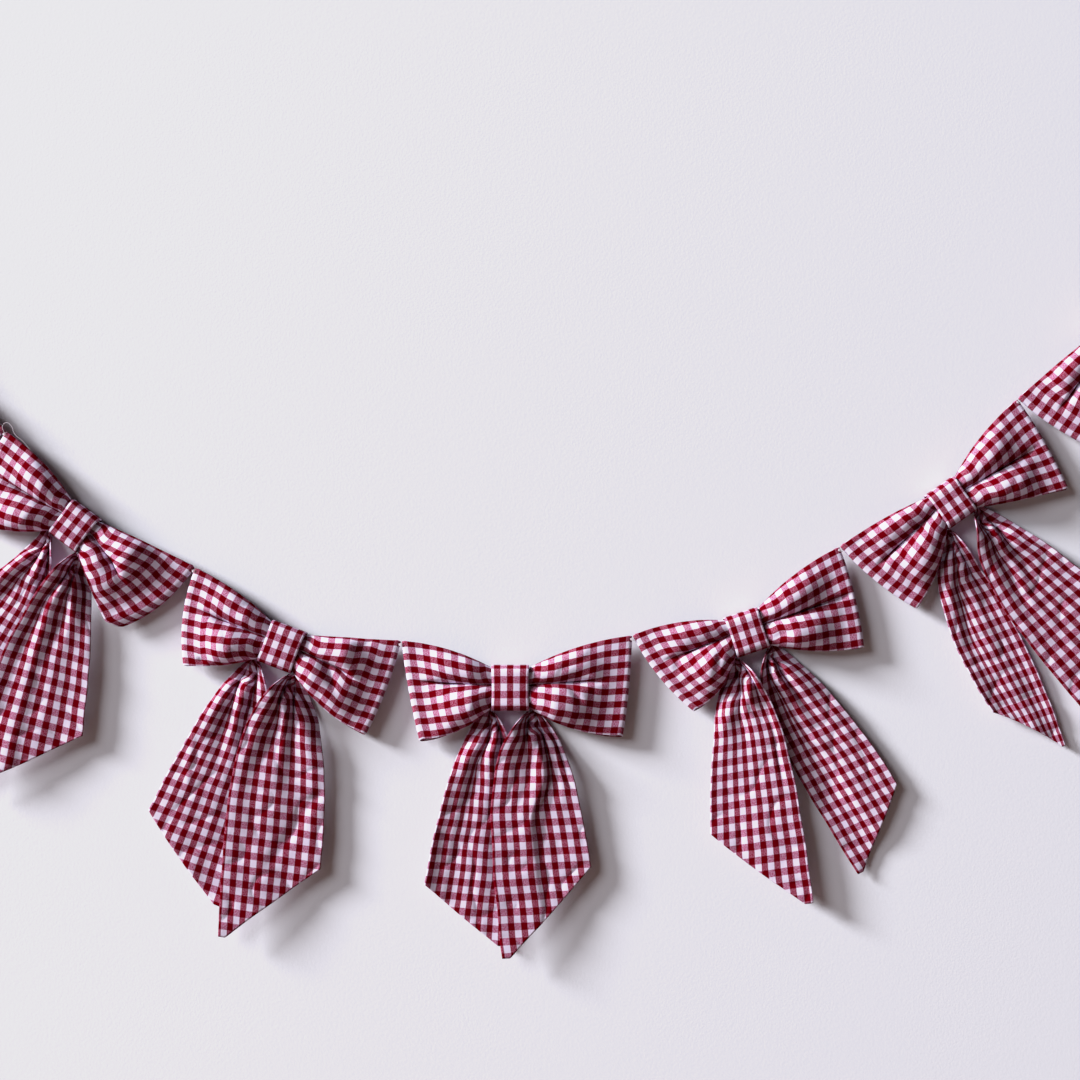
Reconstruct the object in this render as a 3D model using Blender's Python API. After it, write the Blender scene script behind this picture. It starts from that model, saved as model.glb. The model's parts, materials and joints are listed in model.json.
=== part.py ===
"""Bow garland: seven gingham cotton bows, sewn corner to corner, hanging flat on a wall.

Each bow has three pieces of doubled cotton: a strip closed into a ring and pinched into two
loops, a strip with slanted ends whose two halves hang as tails, and a band round the middle
that holds both. The garland sags between its two end corners.

Row frame: metres, +Z up, +X along the garland, the wall at y = 0 and the front facing -Y. The
origin is the garland's right top corner, on the wall. The tables measure x and z from the
middle of the centre bow's band. Inside a bow, u runs along the loops, w runs up across them
and d is the height above the wall, all from the middle of its own band.
"""

import math
from collections import namedtuple

import bmesh
import bpy
from mathutils import Vector

CLOTH = 0.0013  # thickness of the doubled cotton
COTTON_COLOR = (0.47, 0.27, 0.35, 1.0)  # red and white checks, mixed
COTTON_ROUGHNESS = 0.9

# The band round the middle of a bow. These and the other sizes at the band are the centre
# bow's; each bow's own are its grip times these.
BAND_HALF_WIDTH = 0.018
BAND_HALF_HEIGHT = 0.0217
BAND_DEPTH = 0.0226
BAND_CLOTH = 0.0013
BAND_FRONT_RADIUS = 0.0075
BAND_BACK_RADIUS = 0.0035
BAND_BELLY = 0.0006  # the band stands this much prouder along its middle
BAND_CORNER_STEPS = 3

# The loop strip
LOOP_WIDTH = 0.094  # from the top edge of the strip to its bottom edge
LOOP_COLUMNS = 8
NECK_HALF_HEIGHT = 0.0188  # the strip's front layer where the band grips it
NECK_INSET = 0.0030  # the back layer is gathered this much tighter
NECK_CREASE_W = 0.0030  # height of the crease where it leaves the band
FRONT_REST = 0.0100  # height above the wall of the front layer's edges at the band
FRONT_SWELL = 0.0020  # its edges rise by this much half way out
FOLD_FRONT = 0.0130  # front layer beside the end fold
FOLD_BACK = 0.0078  # back layer beside the end fold
BACK_REST = 0.0080  # back layer at the band
BACK_NESTING = 0.28  # the back layer follows the front one's swelling by this share
BACK_CLEAR = 0.34  # share of the loop that stays off the wall to let the tail pass
BACK_DOWN = 0.90  # from this share on it lies back against the wall
LOBE_LIMIT = math.radians(85)  # a lobe is at most about a half circle
FLATTEN_FROM = 0.50  # from this share of the loop the lobes flatten towards the end fold
CREASE_BLEND = 0.30  # share of the loop over which the crease dies out
CORNER_GAP = 0.00045  # between the corners of neighbouring bows, where thread joins them
FRONT_STEPS = (0.0, 0.15, 0.34, 0.56, 0.80, 1.0)
BACK_STEPS = (1.0, 0.66, 0.34, 0.0)

# The tail strip
TAIL_COLUMNS = 12
TAIL_STEPS = (0.0, 0.06, 0.15, 0.27, 0.42, 0.60, 0.80, 1.0)
TIP_BLUNT = 0.08  # share of the width that is cut straight across at the tip
TAIL_NECK = 0.0038  # height above the wall of the tail strip inside the band
NECK_PLEAT = 0.0008  # its pleats there, squeezed by the band
PLEATS = 3.0  # soft pleats across each tail
PLEAT_MOST = 0.0046
PLEAT_FADE = 0.085  # length over which the pleats die out
PLEAT_RADIUS = 0.0012  # tightest bend of a pleat
BILLOW = 0.0030  # broad wave of the lower half
INNER_START = (0.0165, -0.0257)  # where the long edge clears the band: u, w
OUTER_START = (0.0265, -0.0225)  # where the short edge clears the loop
INNER_RISE = (0.000, 0.018)  # the tail leaves the band's level over this stretch of its length
OUTER_RISE = (0.030, 0.075)  # and over this one at its short edge, once it is past the loop

# Hidden rows of the tail strip, from the middle of the band to its side: where the long edge
# lies and where the short edge lies
NeckRow = namedtuple("NeckRow", "inner_u inner_w outer_u outer_w")
NECK_ROWS = (
    NeckRow(0.0000, -0.0140, 0.0000, 0.0120),
    NeckRow(0.0165, -0.0150, 0.0165, 0.0100),
    NeckRow(0.0190, -0.0175, 0.0265, -0.0045),
    NeckRow(0.0193, -0.0215, 0.0300, -0.0150),
)

# Joins between the bows, from the left end of the garland to its right end
Join = namedtuple("Join", "x z")
JOINS = (
    Join(-0.620, 0.421),
    Join(-0.4829, 0.2453),
    Join(-0.3021, 0.1145),
    Join(-0.1044, 0.0443),
    Join(0.1169, 0.0495),
    Join(0.3155, 0.1347),
    Join(0.4858, 0.2761),
    Join(0.6140, 0.4570),
)

# Middle of each band, the tilt of its bow, anticlockwise in degrees, and its size at the band
Bow = namedtuple("Bow", "name x z tilt grip")
BOWS = (
    Bow("bow_1", -0.5775, 0.3129, -51.0, 0.92),
    Bow("bow_2", -0.4165, 0.1549, -37.0, 0.90),
    Bow("bow_3", -0.2184, 0.0394, -21.0, 0.96),
    Bow("bow_4", 0.0000, 0.0000, 0.0, 1.00),
    Bow("bow_5", 0.2261, 0.0529, 18.5, 0.92),
    Bow("bow_6", 0.4214, 0.1770, 35.0, 0.90),
    Bow("bow_7", 0.5810, 0.3377, 50.0, 0.93),
)

# The left and right loop of each bow: its lower corner; how far its top edge, bottom edge and
# end fold bulge; the share of the strip above the crease and how far out the crease runs; and
# how far the back layer's lower corner has slipped out and down from behind the front one
Loop = namedtuple("Loop", "low_u low_w rise drop belly crease reach slip_u slip_w")
LOOPS = {
    "bow_1": (
        Loop(0.092, -0.056, 0.004, 0.006, 0.004, 0.42, 0.75, 0.000, 0.002),
        Loop(0.096, -0.050, 0.003, 0.006, 0.004, 0.40, 0.80, 0.001, 0.003),
    ),
    "bow_2": (
        Loop(0.088, -0.058, 0.005, 0.006, 0.003, 0.45, 0.90, 0.000, 0.000),
        Loop(0.081, -0.056, 0.001, 0.002, 0.012, 0.44, 0.70, 0.017, -0.006),
    ),
    "bow_3": (
        Loop(0.082, -0.0500, 0.004, 0.0035, 0.006, 0.40, 0.85, 0.000, 0.001),
        Loop(0.1049, -0.0489, 0.000, 0.0075, 0.003, 0.45, 0.70, 0.000, 0.002),
    ),
    "bow_4": (
        Loop(0.0866, -0.0491, 0.005, 0.0075, 0.0015, 0.41, 0.85, 0.001, 0.003),
        Loop(0.1077, -0.0452, 0.005, 0.0075, 0.0015, 0.42, 0.75, 0.000, 0.0025),
    ),
    "bow_5": (
        Loop(0.0720, -0.0545, 0.005, 0.0085, 0.005, 0.38, 0.80, 0.000, 0.002),
        Loop(0.1023, -0.0485, 0.005, 0.0050, 0.003, 0.47, 0.95, 0.000, 0.001),
    ),
    "bow_6": (
        Loop(0.0850, -0.0635, 0.0025, 0.0060, 0.004, 0.36, 0.80, 0.000, 0.0015),
        Loop(0.1005, -0.0520, 0.005, 0.0015, 0.0025, 0.50, 0.90, 0.000, 0.0015),
    ),
    "bow_7": (
        Loop(0.0960, -0.0590, 0.001, 0.0060, 0.004, 0.40, 0.80, 0.000, 0.002),
        Loop(0.1000, -0.0520, 0.004, 0.0060, 0.003, 0.46, 0.80, 0.000, 0.002),
    ),
}

# Each tail: the lengths of its long inner edge and short outer edge; the lean of each edge away
# from the bow's middle, in degrees, at the band and where it has settled; the length over which
# it settles; how far it stands off the wall beside its inner edge and beside its outer edge
Tail = namedtuple(
    "Tail",
    "inner outer in_start in_end in_settle out_start out_end out_settle in_lift out_lift",
)
TAILS = {
    "bow_1": (
        Tail(0.238, 0.168, -45, 2, 0.042, 36, 10, 0.060, 0.0060, 0.0100),
        Tail(0.244, 0.170, -26, 26, 0.100, 46, 26, 0.080, 0.0160, 0.0150),
    ),
    "bow_2": (
        Tail(0.238, 0.171, -52, -10, 0.042, 0, 14, 0.020, 0.0060, 0.0100),
        Tail(0.247, 0.171, -10, 31, 0.145, 54, 27, 0.070, 0.0160, 0.0150),
    ),
    "bow_3": (
        Tail(0.241, 0.176, -56, -6, 0.030, 34, 6, 0.043, 0.0060, 0.0100),
        Tail(0.266, 0.188, -41, 19, 0.058, 53, 9, 0.090, 0.0160, 0.0150),
    ),
    "bow_4": (
        Tail(0.229, 0.176, -48, 4, 0.029, 40, 9, 0.058, 0.0060, 0.0100),
        Tail(0.243, 0.160, -56, 7, 0.050, 50, 8, 0.043, 0.0160, 0.0150),
    ),
    "bow_5": (
        Tail(0.247, 0.167, -32, 12, 0.058, 41, 17, 0.058, 0.0160, 0.0150),
        Tail(0.241, 0.177, -58, 13, 0.034, 36, 3, 0.150, 0.0060, 0.0100),
    ),
    "bow_6": (
        Tail(0.236, 0.182, -6, 30, 0.240, 50, -15, 0.125, 0.0060, 0.0100),
        Tail(0.245, 0.171, -54, 6, 0.048, 32, 17, 0.040, 0.0160, 0.0150),
    ),
    "bow_7": (
        Tail(0.238, 0.174, -16, 26, 0.160, 48, 4, 0.100, 0.0060, 0.0100),
        Tail(0.243, 0.171, -50, -4, 0.048, 32, 2, 0.050, 0.0160, 0.0150),
    ),
}


def smooth(low, high, value):
    """Soft step from 0 at low to 1 at high."""
    share = min(max((value - low) / (high - low), 0.0), 1.0)
    return share * share * (3.0 - 2.0 * share)


def arch(share):
    """0 at both ends and 1 half way."""
    return 4.0 * share * (1.0 - share)


# ---------------------------------------------------------------- the loops


def lobe_angle(ratio):
    """Half angle of the arc that is ratio times as long as its chord."""
    low = 0.0
    high = LOBE_LIMIT
    for _ in range(24):
        middle = (low + high) / 2.0
        if middle / math.sin(middle) < ratio:
            low = middle
        else:
            high = middle
    return high


def lobe(start, end, length, share):
    """Point of a cloth lobe that spans start to end in an arc of the given length."""
    chord = (end - start).length
    angle = lobe_angle(length / chord)
    turn = angle * (2.0 * share - 1.0)
    along = 0.5 + math.sin(turn) / (2.0 * math.sin(angle))
    rise = chord * (math.cos(turn) - math.cos(angle)) / (2.0 * math.sin(angle))
    place = start.lerp(end, along)
    return Vector((place.x, place.y, rise))


def to_bow(bow, join):
    """A join's place in the bow's own u and w."""
    tilt = math.radians(bow.tilt)
    across = join.x - bow.x
    up = join.z - bow.z
    return Vector(
        (
            across * math.cos(tilt) + up * math.sin(tilt),
            up * math.cos(tilt) - across * math.sin(tilt),
        )
    )


def end_corners(bow, join, loop, side):
    """Top and bottom ends of the end fold's middle line, and the way it faces, for u > 0."""
    place = to_bow(bow, join)
    top = Vector((side * place.x - CORNER_GAP / 2.0, place.y))
    bottom = Vector((loop.low_u, loop.low_w))
    edge = (bottom - top).normalized()
    outward = Vector((-edge.y, edge.x))
    inset = outward * (CLOTH / 2.0)
    return top - inset, bottom - inset, outward


def edge_height(bow, v):
    """Height above the wall of the front layer's edges and crease."""
    rest = FRONT_REST * bow.grip
    return rest + (FOLD_FRONT - rest) * v + FRONT_SWELL * arch(v)


def end_line(corners, loop, t, inset):
    """The end fold's line, set in by the given amount."""
    top_end, bottom_end, outward = corners
    return top_end.lerp(bottom_end, t) + outward * (loop.belly * arch(t) - inset)


def front_point(bow, corners, loop, v, t):
    """The loop's front layer: v runs from the band to the end fold, t from top to bottom."""
    inset = (FOLD_FRONT - FOLD_BACK) / 2.0
    side_u = BAND_HALF_WIDTH * bow.grip
    neck = NECK_HALF_HEIGHT * bow.grip
    top = Vector((side_u, neck)).lerp(end_line(corners, loop, 0.0, inset), v)
    top.y += loop.rise * arch(v)
    bottom = Vector((side_u, -neck)).lerp(end_line(corners, loop, 1.0, inset), v)
    bottom.y -= loop.drop * arch(v)
    crease_end = end_line(corners, loop, loop.crease, inset)
    crease = Vector((side_u, NECK_CREASE_W * bow.grip)).lerp(crease_end, v)
    if t <= loop.crease:
        folded = lobe(top, crease, LOOP_WIDTH * loop.crease, t / loop.crease)
    else:
        rest = 1.0 - loop.crease
        folded = lobe(crease, bottom, LOOP_WIDTH * rest, (t - loop.crease) / rest)
    plain = lobe(top, bottom, LOOP_WIDTH, t)
    belly = loop.belly * arch(t) * v * v
    plain.x += belly * corners[2].x
    plain.y += belly * corners[2].y
    point = folded.lerp(plain, smooth(loop.reach - CREASE_BLEND, loop.reach, v))
    point.z *= 1.0 - smooth(FLATTEN_FROM, 1.0, v)
    point.z += edge_height(bow, v)
    return point


def back_point(bow, corners, loop, v, t):
    """The loop's back layer, gathered tighter at the band and slipped down at the fold."""
    point = front_point(bow, corners, loop, v, t)
    swelling = point.z - edge_height(bow, v)
    point.x += loop.slip_u * v * t
    point.y -= NECK_INSET * (1.0 - v) * (1.0 - 2.0 * t) + loop.slip_w * v * t
    drop = smooth(BACK_CLEAR, BACK_DOWN, v)
    rest = BACK_REST * bow.grip
    point.z = rest + (FOLD_BACK - rest) * drop + BACK_NESTING * swelling * (1.0 - drop)
    return point


def fold_point(corners, loop, t):
    """The end fold's outermost line."""
    place = end_line(corners, loop, t, 0.0)
    place.x += loop.slip_u * t / 2.0
    place.y -= loop.slip_w * t / 2.0
    return Vector((place.x, place.y, (FOLD_FRONT + FOLD_BACK) / 2.0))


def loop_rows(bow, join, loop, side):
    """Rows across one loop, from the band's side round the end fold and back."""
    corners = end_corners(bow, join, loop, side)
    shares = [column / LOOP_COLUMNS for column in range(LOOP_COLUMNS + 1)]
    rows = [[front_point(bow, corners, loop, v, t) for t in shares] for v in FRONT_STEPS]
    rows.append([fold_point(corners, loop, t) for t in shares])
    rows.extend([back_point(bow, corners, loop, v, t) for t in shares] for v in BACK_STEPS)
    return [[Vector((side * p.x, p.y, p.z)) for p in row] for row in rows]


def middle_row(row, other):
    """The row half way between two rows, at the middle of the band."""
    return [(a + b) / 2.0 for a, b in zip(row, other)]


def loops_grid(bow, left_join, right_join):
    """Closed ring of rows: out along the right loop, back behind it, and the same on the left."""
    left, right = LOOPS[bow.name]
    right_rows = loop_rows(bow, right_join, right, 1)
    left_rows = loop_rows(bow, left_join, left, -1)
    front = middle_row(left_rows[0], right_rows[0])
    back = middle_row(left_rows[-1], right_rows[-1])
    return [front] + right_rows + [back] + left_rows[::-1]


# ---------------------------------------------------------------- the tails


def edge_place(start, lean_start, lean_end, settle, length):
    """Point of a tail's edge, length away from its start, as its lean settles."""
    steps = 24
    step = length / steps
    place = Vector(start)
    for count in range(steps):
        fade = math.exp(-(count + 0.5) * step / settle)
        lean = math.radians(lean_end + (lean_start - lean_end) * fade)
        place += Vector((math.sin(lean), -math.cos(lean))) * step
    return place


def tail_length(tail, t):
    """Length of the tail at t, 0 at its long inner edge and 1 at its short outer one."""
    slant = max(t - TIP_BLUNT, 0.0) / (1.0 - TIP_BLUNT)
    return tail.inner + (tail.outer - tail.inner) * slant


def pleat_height(width, most):
    """Half the depth of the pleats, kept so shallow that no bend is too tight."""
    return min(most, (width / (2.0 * math.pi * PLEATS)) ** 2 / PLEAT_RADIUS)


def tail_point(bow, tail, v, t):
    """v runs from the band to the cut end; u, w and the height above the wall."""
    length = v * tail_length(tail, t)
    start = Vector(INNER_START) * bow.grip
    inner = edge_place(start, tail.in_start, tail.in_end, tail.in_settle, length)
    start = Vector(OUTER_START) * bow.grip
    outer = edge_place(start, tail.out_start, tail.out_end, tail.out_settle, length)
    place = inner.lerp(outer, t)
    lift = tail.in_lift + (tail.out_lift - tail.in_lift) * smooth(0.1, 0.8, t)
    rise_from = INNER_RISE[0] + (OUTER_RISE[0] - INNER_RISE[0]) * t
    rise_to = INNER_RISE[1] + (OUTER_RISE[1] - INNER_RISE[1]) * t
    neck = TAIL_NECK * bow.grip
    height = neck + (lift - neck) * smooth(rise_from, rise_to, length)
    pleat = pleat_height((outer - inner).length, min(height - CLOTH, PLEAT_MOST))
    pleat *= math.exp(-((length / PLEAT_FADE) ** 2))
    wave = math.cos(2.0 * math.pi * PLEATS * t)
    billow = BILLOW * smooth(0.25, 0.75, v) * math.sin(2.0 * math.pi * t) * (t - 0.5)
    return Vector((place.x, place.y, height + pleat * wave + billow))


def neck_point(bow, row, t):
    """A row of the tail strip that the band and the loops hide."""
    inner = Vector((row.inner_u, row.inner_w))
    outer = Vector((row.outer_u, row.outer_w))
    place = inner.lerp(outer, t) * bow.grip
    pleat = pleat_height((outer - inner).length, NECK_PLEAT)
    wave = math.cos(2.0 * math.pi * PLEATS * t)
    return Vector((place.x, place.y, TAIL_NECK * bow.grip + pleat * wave))


def tail_rows(bow, tail, side):
    """Rows across one tail, from beside the middle of the band to the cut end."""
    shares = [column / TAIL_COLUMNS for column in range(TAIL_COLUMNS + 1)]
    rows = [[neck_point(bow, row, t) for t in shares] for row in NECK_ROWS[1:]]
    rows.extend([tail_point(bow, tail, v, t) for t in shares] for v in TAIL_STEPS)
    return [[Vector((side * p.x, p.y, p.z)) for p in row] for row in rows]


def tails_grid(bow):
    """Open strip of rows from the left tail's cut end to the right tail's."""
    left, right = TAILS[bow.name]
    shares = [column / TAIL_COLUMNS for column in range(TAIL_COLUMNS + 1)]
    middle = [neck_point(bow, NECK_ROWS[0], t) for t in shares]
    return tail_rows(bow, left, -1)[::-1] + [middle] + tail_rows(bow, right, 1)


# ---------------------------------------------------------------- the band


def band_outline():
    """Rounded outline of the band's outer face in w and d, flat against the wall."""
    corners = (
        (1, BAND_DEPTH, BAND_FRONT_RADIUS, 90),
        (1, 0.0, BAND_BACK_RADIUS, 0),
        (-1, 0.0, BAND_BACK_RADIUS, -90),
        (-1, BAND_DEPTH, BAND_FRONT_RADIUS, -180),
    )
    outline = []
    for up, depth, radius, start in corners:
        centre_w = up * (BAND_HALF_HEIGHT - radius)
        centre_d = depth - radius if depth > 0.0 else radius
        for step in range(BAND_CORNER_STEPS + 1):
            angle = math.radians(start - 90.0 * step / BAND_CORNER_STEPS)
            outline.append(
                (centre_w + radius * math.cos(angle), centre_d + radius * math.sin(angle))
            )
    return outline


def band_grid(bow):
    """Closed ring of rows round the band, each from its left edge to its right edge."""
    rows = []
    for w, d in band_outline():
        belly = BAND_BELLY * smooth(BAND_DEPTH * 0.5, BAND_DEPTH, d)
        places = (
            Vector((-BAND_HALF_WIDTH, w, d)),
            Vector((0.0, w, d + belly)),
            Vector((BAND_HALF_WIDTH, w, d)),
        )
        rows.append([place * bow.grip for place in places])
    return rows


# ---------------------------------------------------------------- solids


def cotton(name):
    """Plain cotton, red and white together."""
    material = bpy.data.materials.new(name)
    material.use_nodes = True
    shader = material.node_tree.nodes["Principled BSDF"]
    shader.inputs["Base Color"].default_value = COTTON_COLOR
    shader.inputs["Roughness"].default_value = COTTON_ROUGHNESS
    shader.inputs["Metallic"].default_value = 0.0
    return material


def to_row(bow, point):
    """A bow's u, w and d as a place in the row frame, which starts at the last join."""
    tilt = math.radians(bow.tilt)
    x = bow.x + point.x * math.cos(tilt) - point.y * math.sin(tilt)
    z = bow.z + point.x * math.sin(tilt) + point.y * math.cos(tilt)
    return Vector((x - JOINS[-1].x, -point.z, z - JOINS[-1].z))


def add_cloth(name, bow, grid, closed, thickness, offset, material):
    """A sheet through the grid's rows, given its thickness; closed joins the last row on."""
    mesh = bpy.data.meshes.new(name)
    sheet = bmesh.new()
    rows = [[sheet.verts.new(to_row(bow, point)) for point in row] for row in grid]
    if closed:
        rows.append(rows[0])
    for row, following in zip(rows, rows[1:]):
        for column in range(len(row) - 1):
            corners = (
                row[column],
                row[column + 1],
                following[column + 1],
                following[column],
            )
            sheet.faces.new(corners)
    sheet.to_mesh(mesh)
    sheet.free()
    mesh.materials.append(material)
    mesh.shade_smooth()
    piece = bpy.data.objects.new(name, mesh)
    bpy.context.scene.collection.objects.link(piece)
    solidify = piece.modifiers.new("thickness", "SOLIDIFY")
    solidify.thickness = thickness
    solidify.offset = offset
    solidify.use_even_offset = False
    return piece


def add_bow(bow, left_join, right_join, materials):
    """The three pieces of one bow."""
    loops = loops_grid(bow, left_join, right_join)
    add_cloth(f"{bow.name}_loops", bow, loops, True, CLOTH, 0.0, materials["loops"])
    tails = tails_grid(bow)
    add_cloth(f"{bow.name}_tails", bow, tails, False, CLOTH, 0.0, materials["tails"])
    band = band_grid(bow)
    add_cloth(f"{bow.name}_band", bow, band, True, BAND_CLOTH, -1.0, materials["band"])


def main():
    for item in list(bpy.data.objects):
        bpy.data.objects.remove(item)
    materials = {
        "loops": cotton("loop_cotton"),
        "tails": cotton("tail_cotton"),
        "band": cotton("band_cotton"),
    }
    for bow, left_join, right_join in zip(BOWS, JOINS, JOINS[1:]):
        add_bow(bow, left_join, right_join, materials)


main()
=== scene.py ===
"""Bow garland: red and white gingham bows, sewn corner to corner, dressed over their solids.

Every bow is made of three pressed tubes of gingham: a loop strip closed into a ring and pinched
by the band, a tail strip with slanted ends gathered behind it, and the band itself. Each tube is
one closed mesh round its middle sheet, with the cloth's own UV map in metres of warp and weft,
so the checks follow the folds.

Metres, +Z up, +X along the garland, the wall at y = 0 and the front facing -Y. The origin is the
garland's right top corner. The tables measure x and z from the middle of the centre bow's band.
Inside a bow, u runs along the loops, w runs up across them and d is the height above the wall.
"""

import json
import math
from collections import namedtuple

import bmesh
import bpy
from bpy.props import FloatProperty, FloatVectorProperty, PointerProperty
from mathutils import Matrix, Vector, noise

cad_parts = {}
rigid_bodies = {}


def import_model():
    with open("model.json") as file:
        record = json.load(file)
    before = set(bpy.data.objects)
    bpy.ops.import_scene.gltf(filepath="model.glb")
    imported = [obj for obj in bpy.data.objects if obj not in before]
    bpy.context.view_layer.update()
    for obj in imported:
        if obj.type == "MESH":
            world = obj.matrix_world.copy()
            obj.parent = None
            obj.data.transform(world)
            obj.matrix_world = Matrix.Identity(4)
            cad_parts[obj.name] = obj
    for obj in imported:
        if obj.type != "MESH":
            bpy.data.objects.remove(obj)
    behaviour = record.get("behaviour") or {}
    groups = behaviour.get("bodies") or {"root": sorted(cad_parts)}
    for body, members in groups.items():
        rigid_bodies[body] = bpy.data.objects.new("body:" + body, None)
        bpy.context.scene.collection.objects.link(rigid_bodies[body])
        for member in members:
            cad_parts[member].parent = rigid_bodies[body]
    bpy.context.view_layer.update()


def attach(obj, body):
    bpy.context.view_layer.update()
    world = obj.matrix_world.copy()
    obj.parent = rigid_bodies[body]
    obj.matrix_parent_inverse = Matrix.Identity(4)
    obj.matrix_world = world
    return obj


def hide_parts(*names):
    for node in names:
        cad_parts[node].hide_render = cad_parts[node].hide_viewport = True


bl_info = {
    "name": "Bow garland",
    "version": (1, 0, 0),
    "blender": (4, 5, 0),
    "location": "3D View > Sidebar > Garland",
    "description": "Dresses the bow garland in gingham cotton and sets it on a pale wall",
    "category": "Object",
}

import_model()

# ---------------------------------------------------------------- sizes of the cloth

CHECK = 0.0061  # width of one check, across the warp
CHECK_LONG = 0.0070  # its length, along the warp
WEAVE_MAP = "weave"  # UV map: warp and weft in metres
RIM_STEPS = (0.0, 0.0022, 0.0065)  # shares of the width where a pressed edge rounds off
RIM_HEIGHTS = (0.0, 0.62, 0.93)  # and its half thickness there

# Unevenness of the cloth: the heights and sizes of its fine and broad ripples, and the size of
# the creases it keeps from being folded
Grain = namedtuple("Grain", "fine fine_size broad broad_size crumple_size")
LOOP_GRAIN = Grain(0.0003, 0.012, 0.0010, 0.030, 0.040)
TAIL_GRAIN = Grain(0.0003, 0.016, 0.0009, 0.034, 0.034)
CRUMPLE = 0.0012  # depth of those creases
CRUMPLE_SHARP = 9  # and how narrow they are
LOOP_SEED = 40.0  # seeds that give every loop and tail its own ripples
TAIL_SEED = 50.0
BROAD_SEED = 9.0
CRUMPLE_SEED = 3.0
WANDER_SEED = 5.0

# Where a strip is gathered, the cloth that the gather hides is taken up in its low places
HIDES_EVENLY = 0.004  # small share of it that every place takes up
LOW_SHARP = 4  # how closely the rest keeps to the low places of a loop
DIP_SHARP = 3  # and to the troughs of a tail
LEAST_DEPTH = 0.002  # a loop that is flatter than this across has no low places to speak of

# The band round the middle of a bow. These and the other sizes at the band are the centre
# bow's; each bow's own are its grip times these.
BAND_HALF_WIDTH = 0.018
BAND_HALF_HEIGHT = 0.0217
BAND_DEPTH = 0.0226
BAND_FRONT_RADIUS = 0.0075
BAND_BACK_RADIUS = 0.0035
BAND_BELLY = 0.0010
BAND_WAIST = 0.0006  # its sides draw in by this much at the front
BAND_FRONT_FROM = 0.5  # share of its depth where belly and waist start
BAND_CLOTH = 0.0013
BAND_COLUMNS = 20
BAND_CHECKS = 5.8  # checks across the band
BAND_LEFT_CHECK = 0.45  # how much of a white check shows at its left edge
BAND_CORNER_STEPS = 8
BAND_STRAIGHT_STEPS = 12

# The loop strip
LOOP_WIDTH = 0.094
LOOP_CHECKS = 15.1  # checks across the strip
LOOP_TURNED = 0.1  # share of a check turned under at the strip's top edge
LOOP_COLUMNS = 84
NECK_HALF_HEIGHT = 0.0188  # at the band
NECK_INSET = 0.0030  # how much tighter the back layer is gathered there
NECK_CREASE_W = 0.0030  # where the crease between the lobes starts
FRONT_REST = 0.0100  # height of the front layer's edges at the band
FRONT_SWELL = 0.0020  # and how much they rise half way to the end fold
FOLD_FRONT = 0.0130  # heights of the front and the back of the end fold
FOLD_BACK = 0.0078
BACK_REST = 0.0080  # height of the back layer at the band
BACK_NESTING = 0.28  # share of the front's swelling that it takes part in
BACK_CLEAR = 0.34  # shares of the loop's length between which it comes down to the fold
BACK_DOWN = 0.90
LOBE_LIMIT = math.radians(85)  # most that the half arc of a lobe turns
LOBE_HALVINGS = 16  # steps of the search for it
FLATTEN_FROM = 0.50  # share of the length where the lobes start to flatten
CREASE_BLEND = 0.30  # share of it over which two lobes become one
PLAIN_RISE = 0.55  # beyond the crease the strip stands this much of a full arc proud
CREASE_SINK = 0.0048  # how far the crease between the lobes sinks on its way to the end fold
CREASE_ABOVE = 0.0018  # width of its steep upper side
CREASE_BELOW = 0.0040  # and of its gentle lower side
CREASE_OPENS = (0.05, 0.25)  # shares of the loop's length over which it deepens
CREASE_FADES = (0.15, 0.10)  # and over which it ends, before and after its reach
CREASE_HEM = 0.12  # share of the width at each edge that the smaller creases die away over
GROOVE_OPENS = (-0.25, 0.35)  # shares of a groove's length over which it deepens
GROOVE_CLOSES = (0.65, 1.25)  # and over which it dies away
CORNER_GAP = 0.00045  # between two bows where they are sewn together
FRONT_ROWS = 36
BACK_ROWS = 12
FOLD_STEPS = (-60, -25, 0, 25, 60)  # degrees round the end fold

# The tail strip
TAIL_COLUMNS = 72
TAIL_ROWS = 110
NECK_STEPS = 4  # rows from one place behind the band to the next
TIP_BLUNT = 0.08  # share of the width over which a tail's tip is cut square
TAIL_NECK = 0.0038  # height of the sheet behind the band
BILLOW = 0.0030  # soft bulge of the lower tail
BILLOW_SETTLES = (0.25, 0.75)  # shares of the tail's length over which it comes in
LIFT_CHANGES = (0.1, 0.8)  # shares of the width between the inner and the outer lift
RIPPLES_START = 0.06  # length over which the ripples grow below the band
CRUMPLES_START = 0.03  # and over which the creases do
NECK_SWELL = 0.0070  # how far the gathered cloth swells just below the band
SWELL_RISE = 0.006  # lengths over which it rises and falls again
SWELL_FALL = (0.014, 0.050)
TAIL_CLOTH_WIDTH = 15.6 * CHECK
TAIL_TURNED = {1: 1.6, -1: 0.7}  # checks turned under at the inner edge, by side
NECK_WEAVE = 0.002  # how far the weave goes on between two rows behind the band
EDGE_STEP = 0.001  # step along an edge as its lean settles
EDGE_WANDER = 0.0009  # how far a tail's edges and weave lines wander
WANDER_SIZE = 0.030  # from one bend to the next
WANDER_ACROSS = 0.03  # width that a tail counts as here, so that its edges wander nearly alike
INNER_START = (0.0150, -0.0243)  # where the edges leave the band, in u and w
OUTER_START = (0.0265, -0.0225)
INNER_RISE = (0.000, 0.018)  # lengths between which they rise to their height off the wall
OUTER_RISE = (0.030, 0.075)

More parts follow.
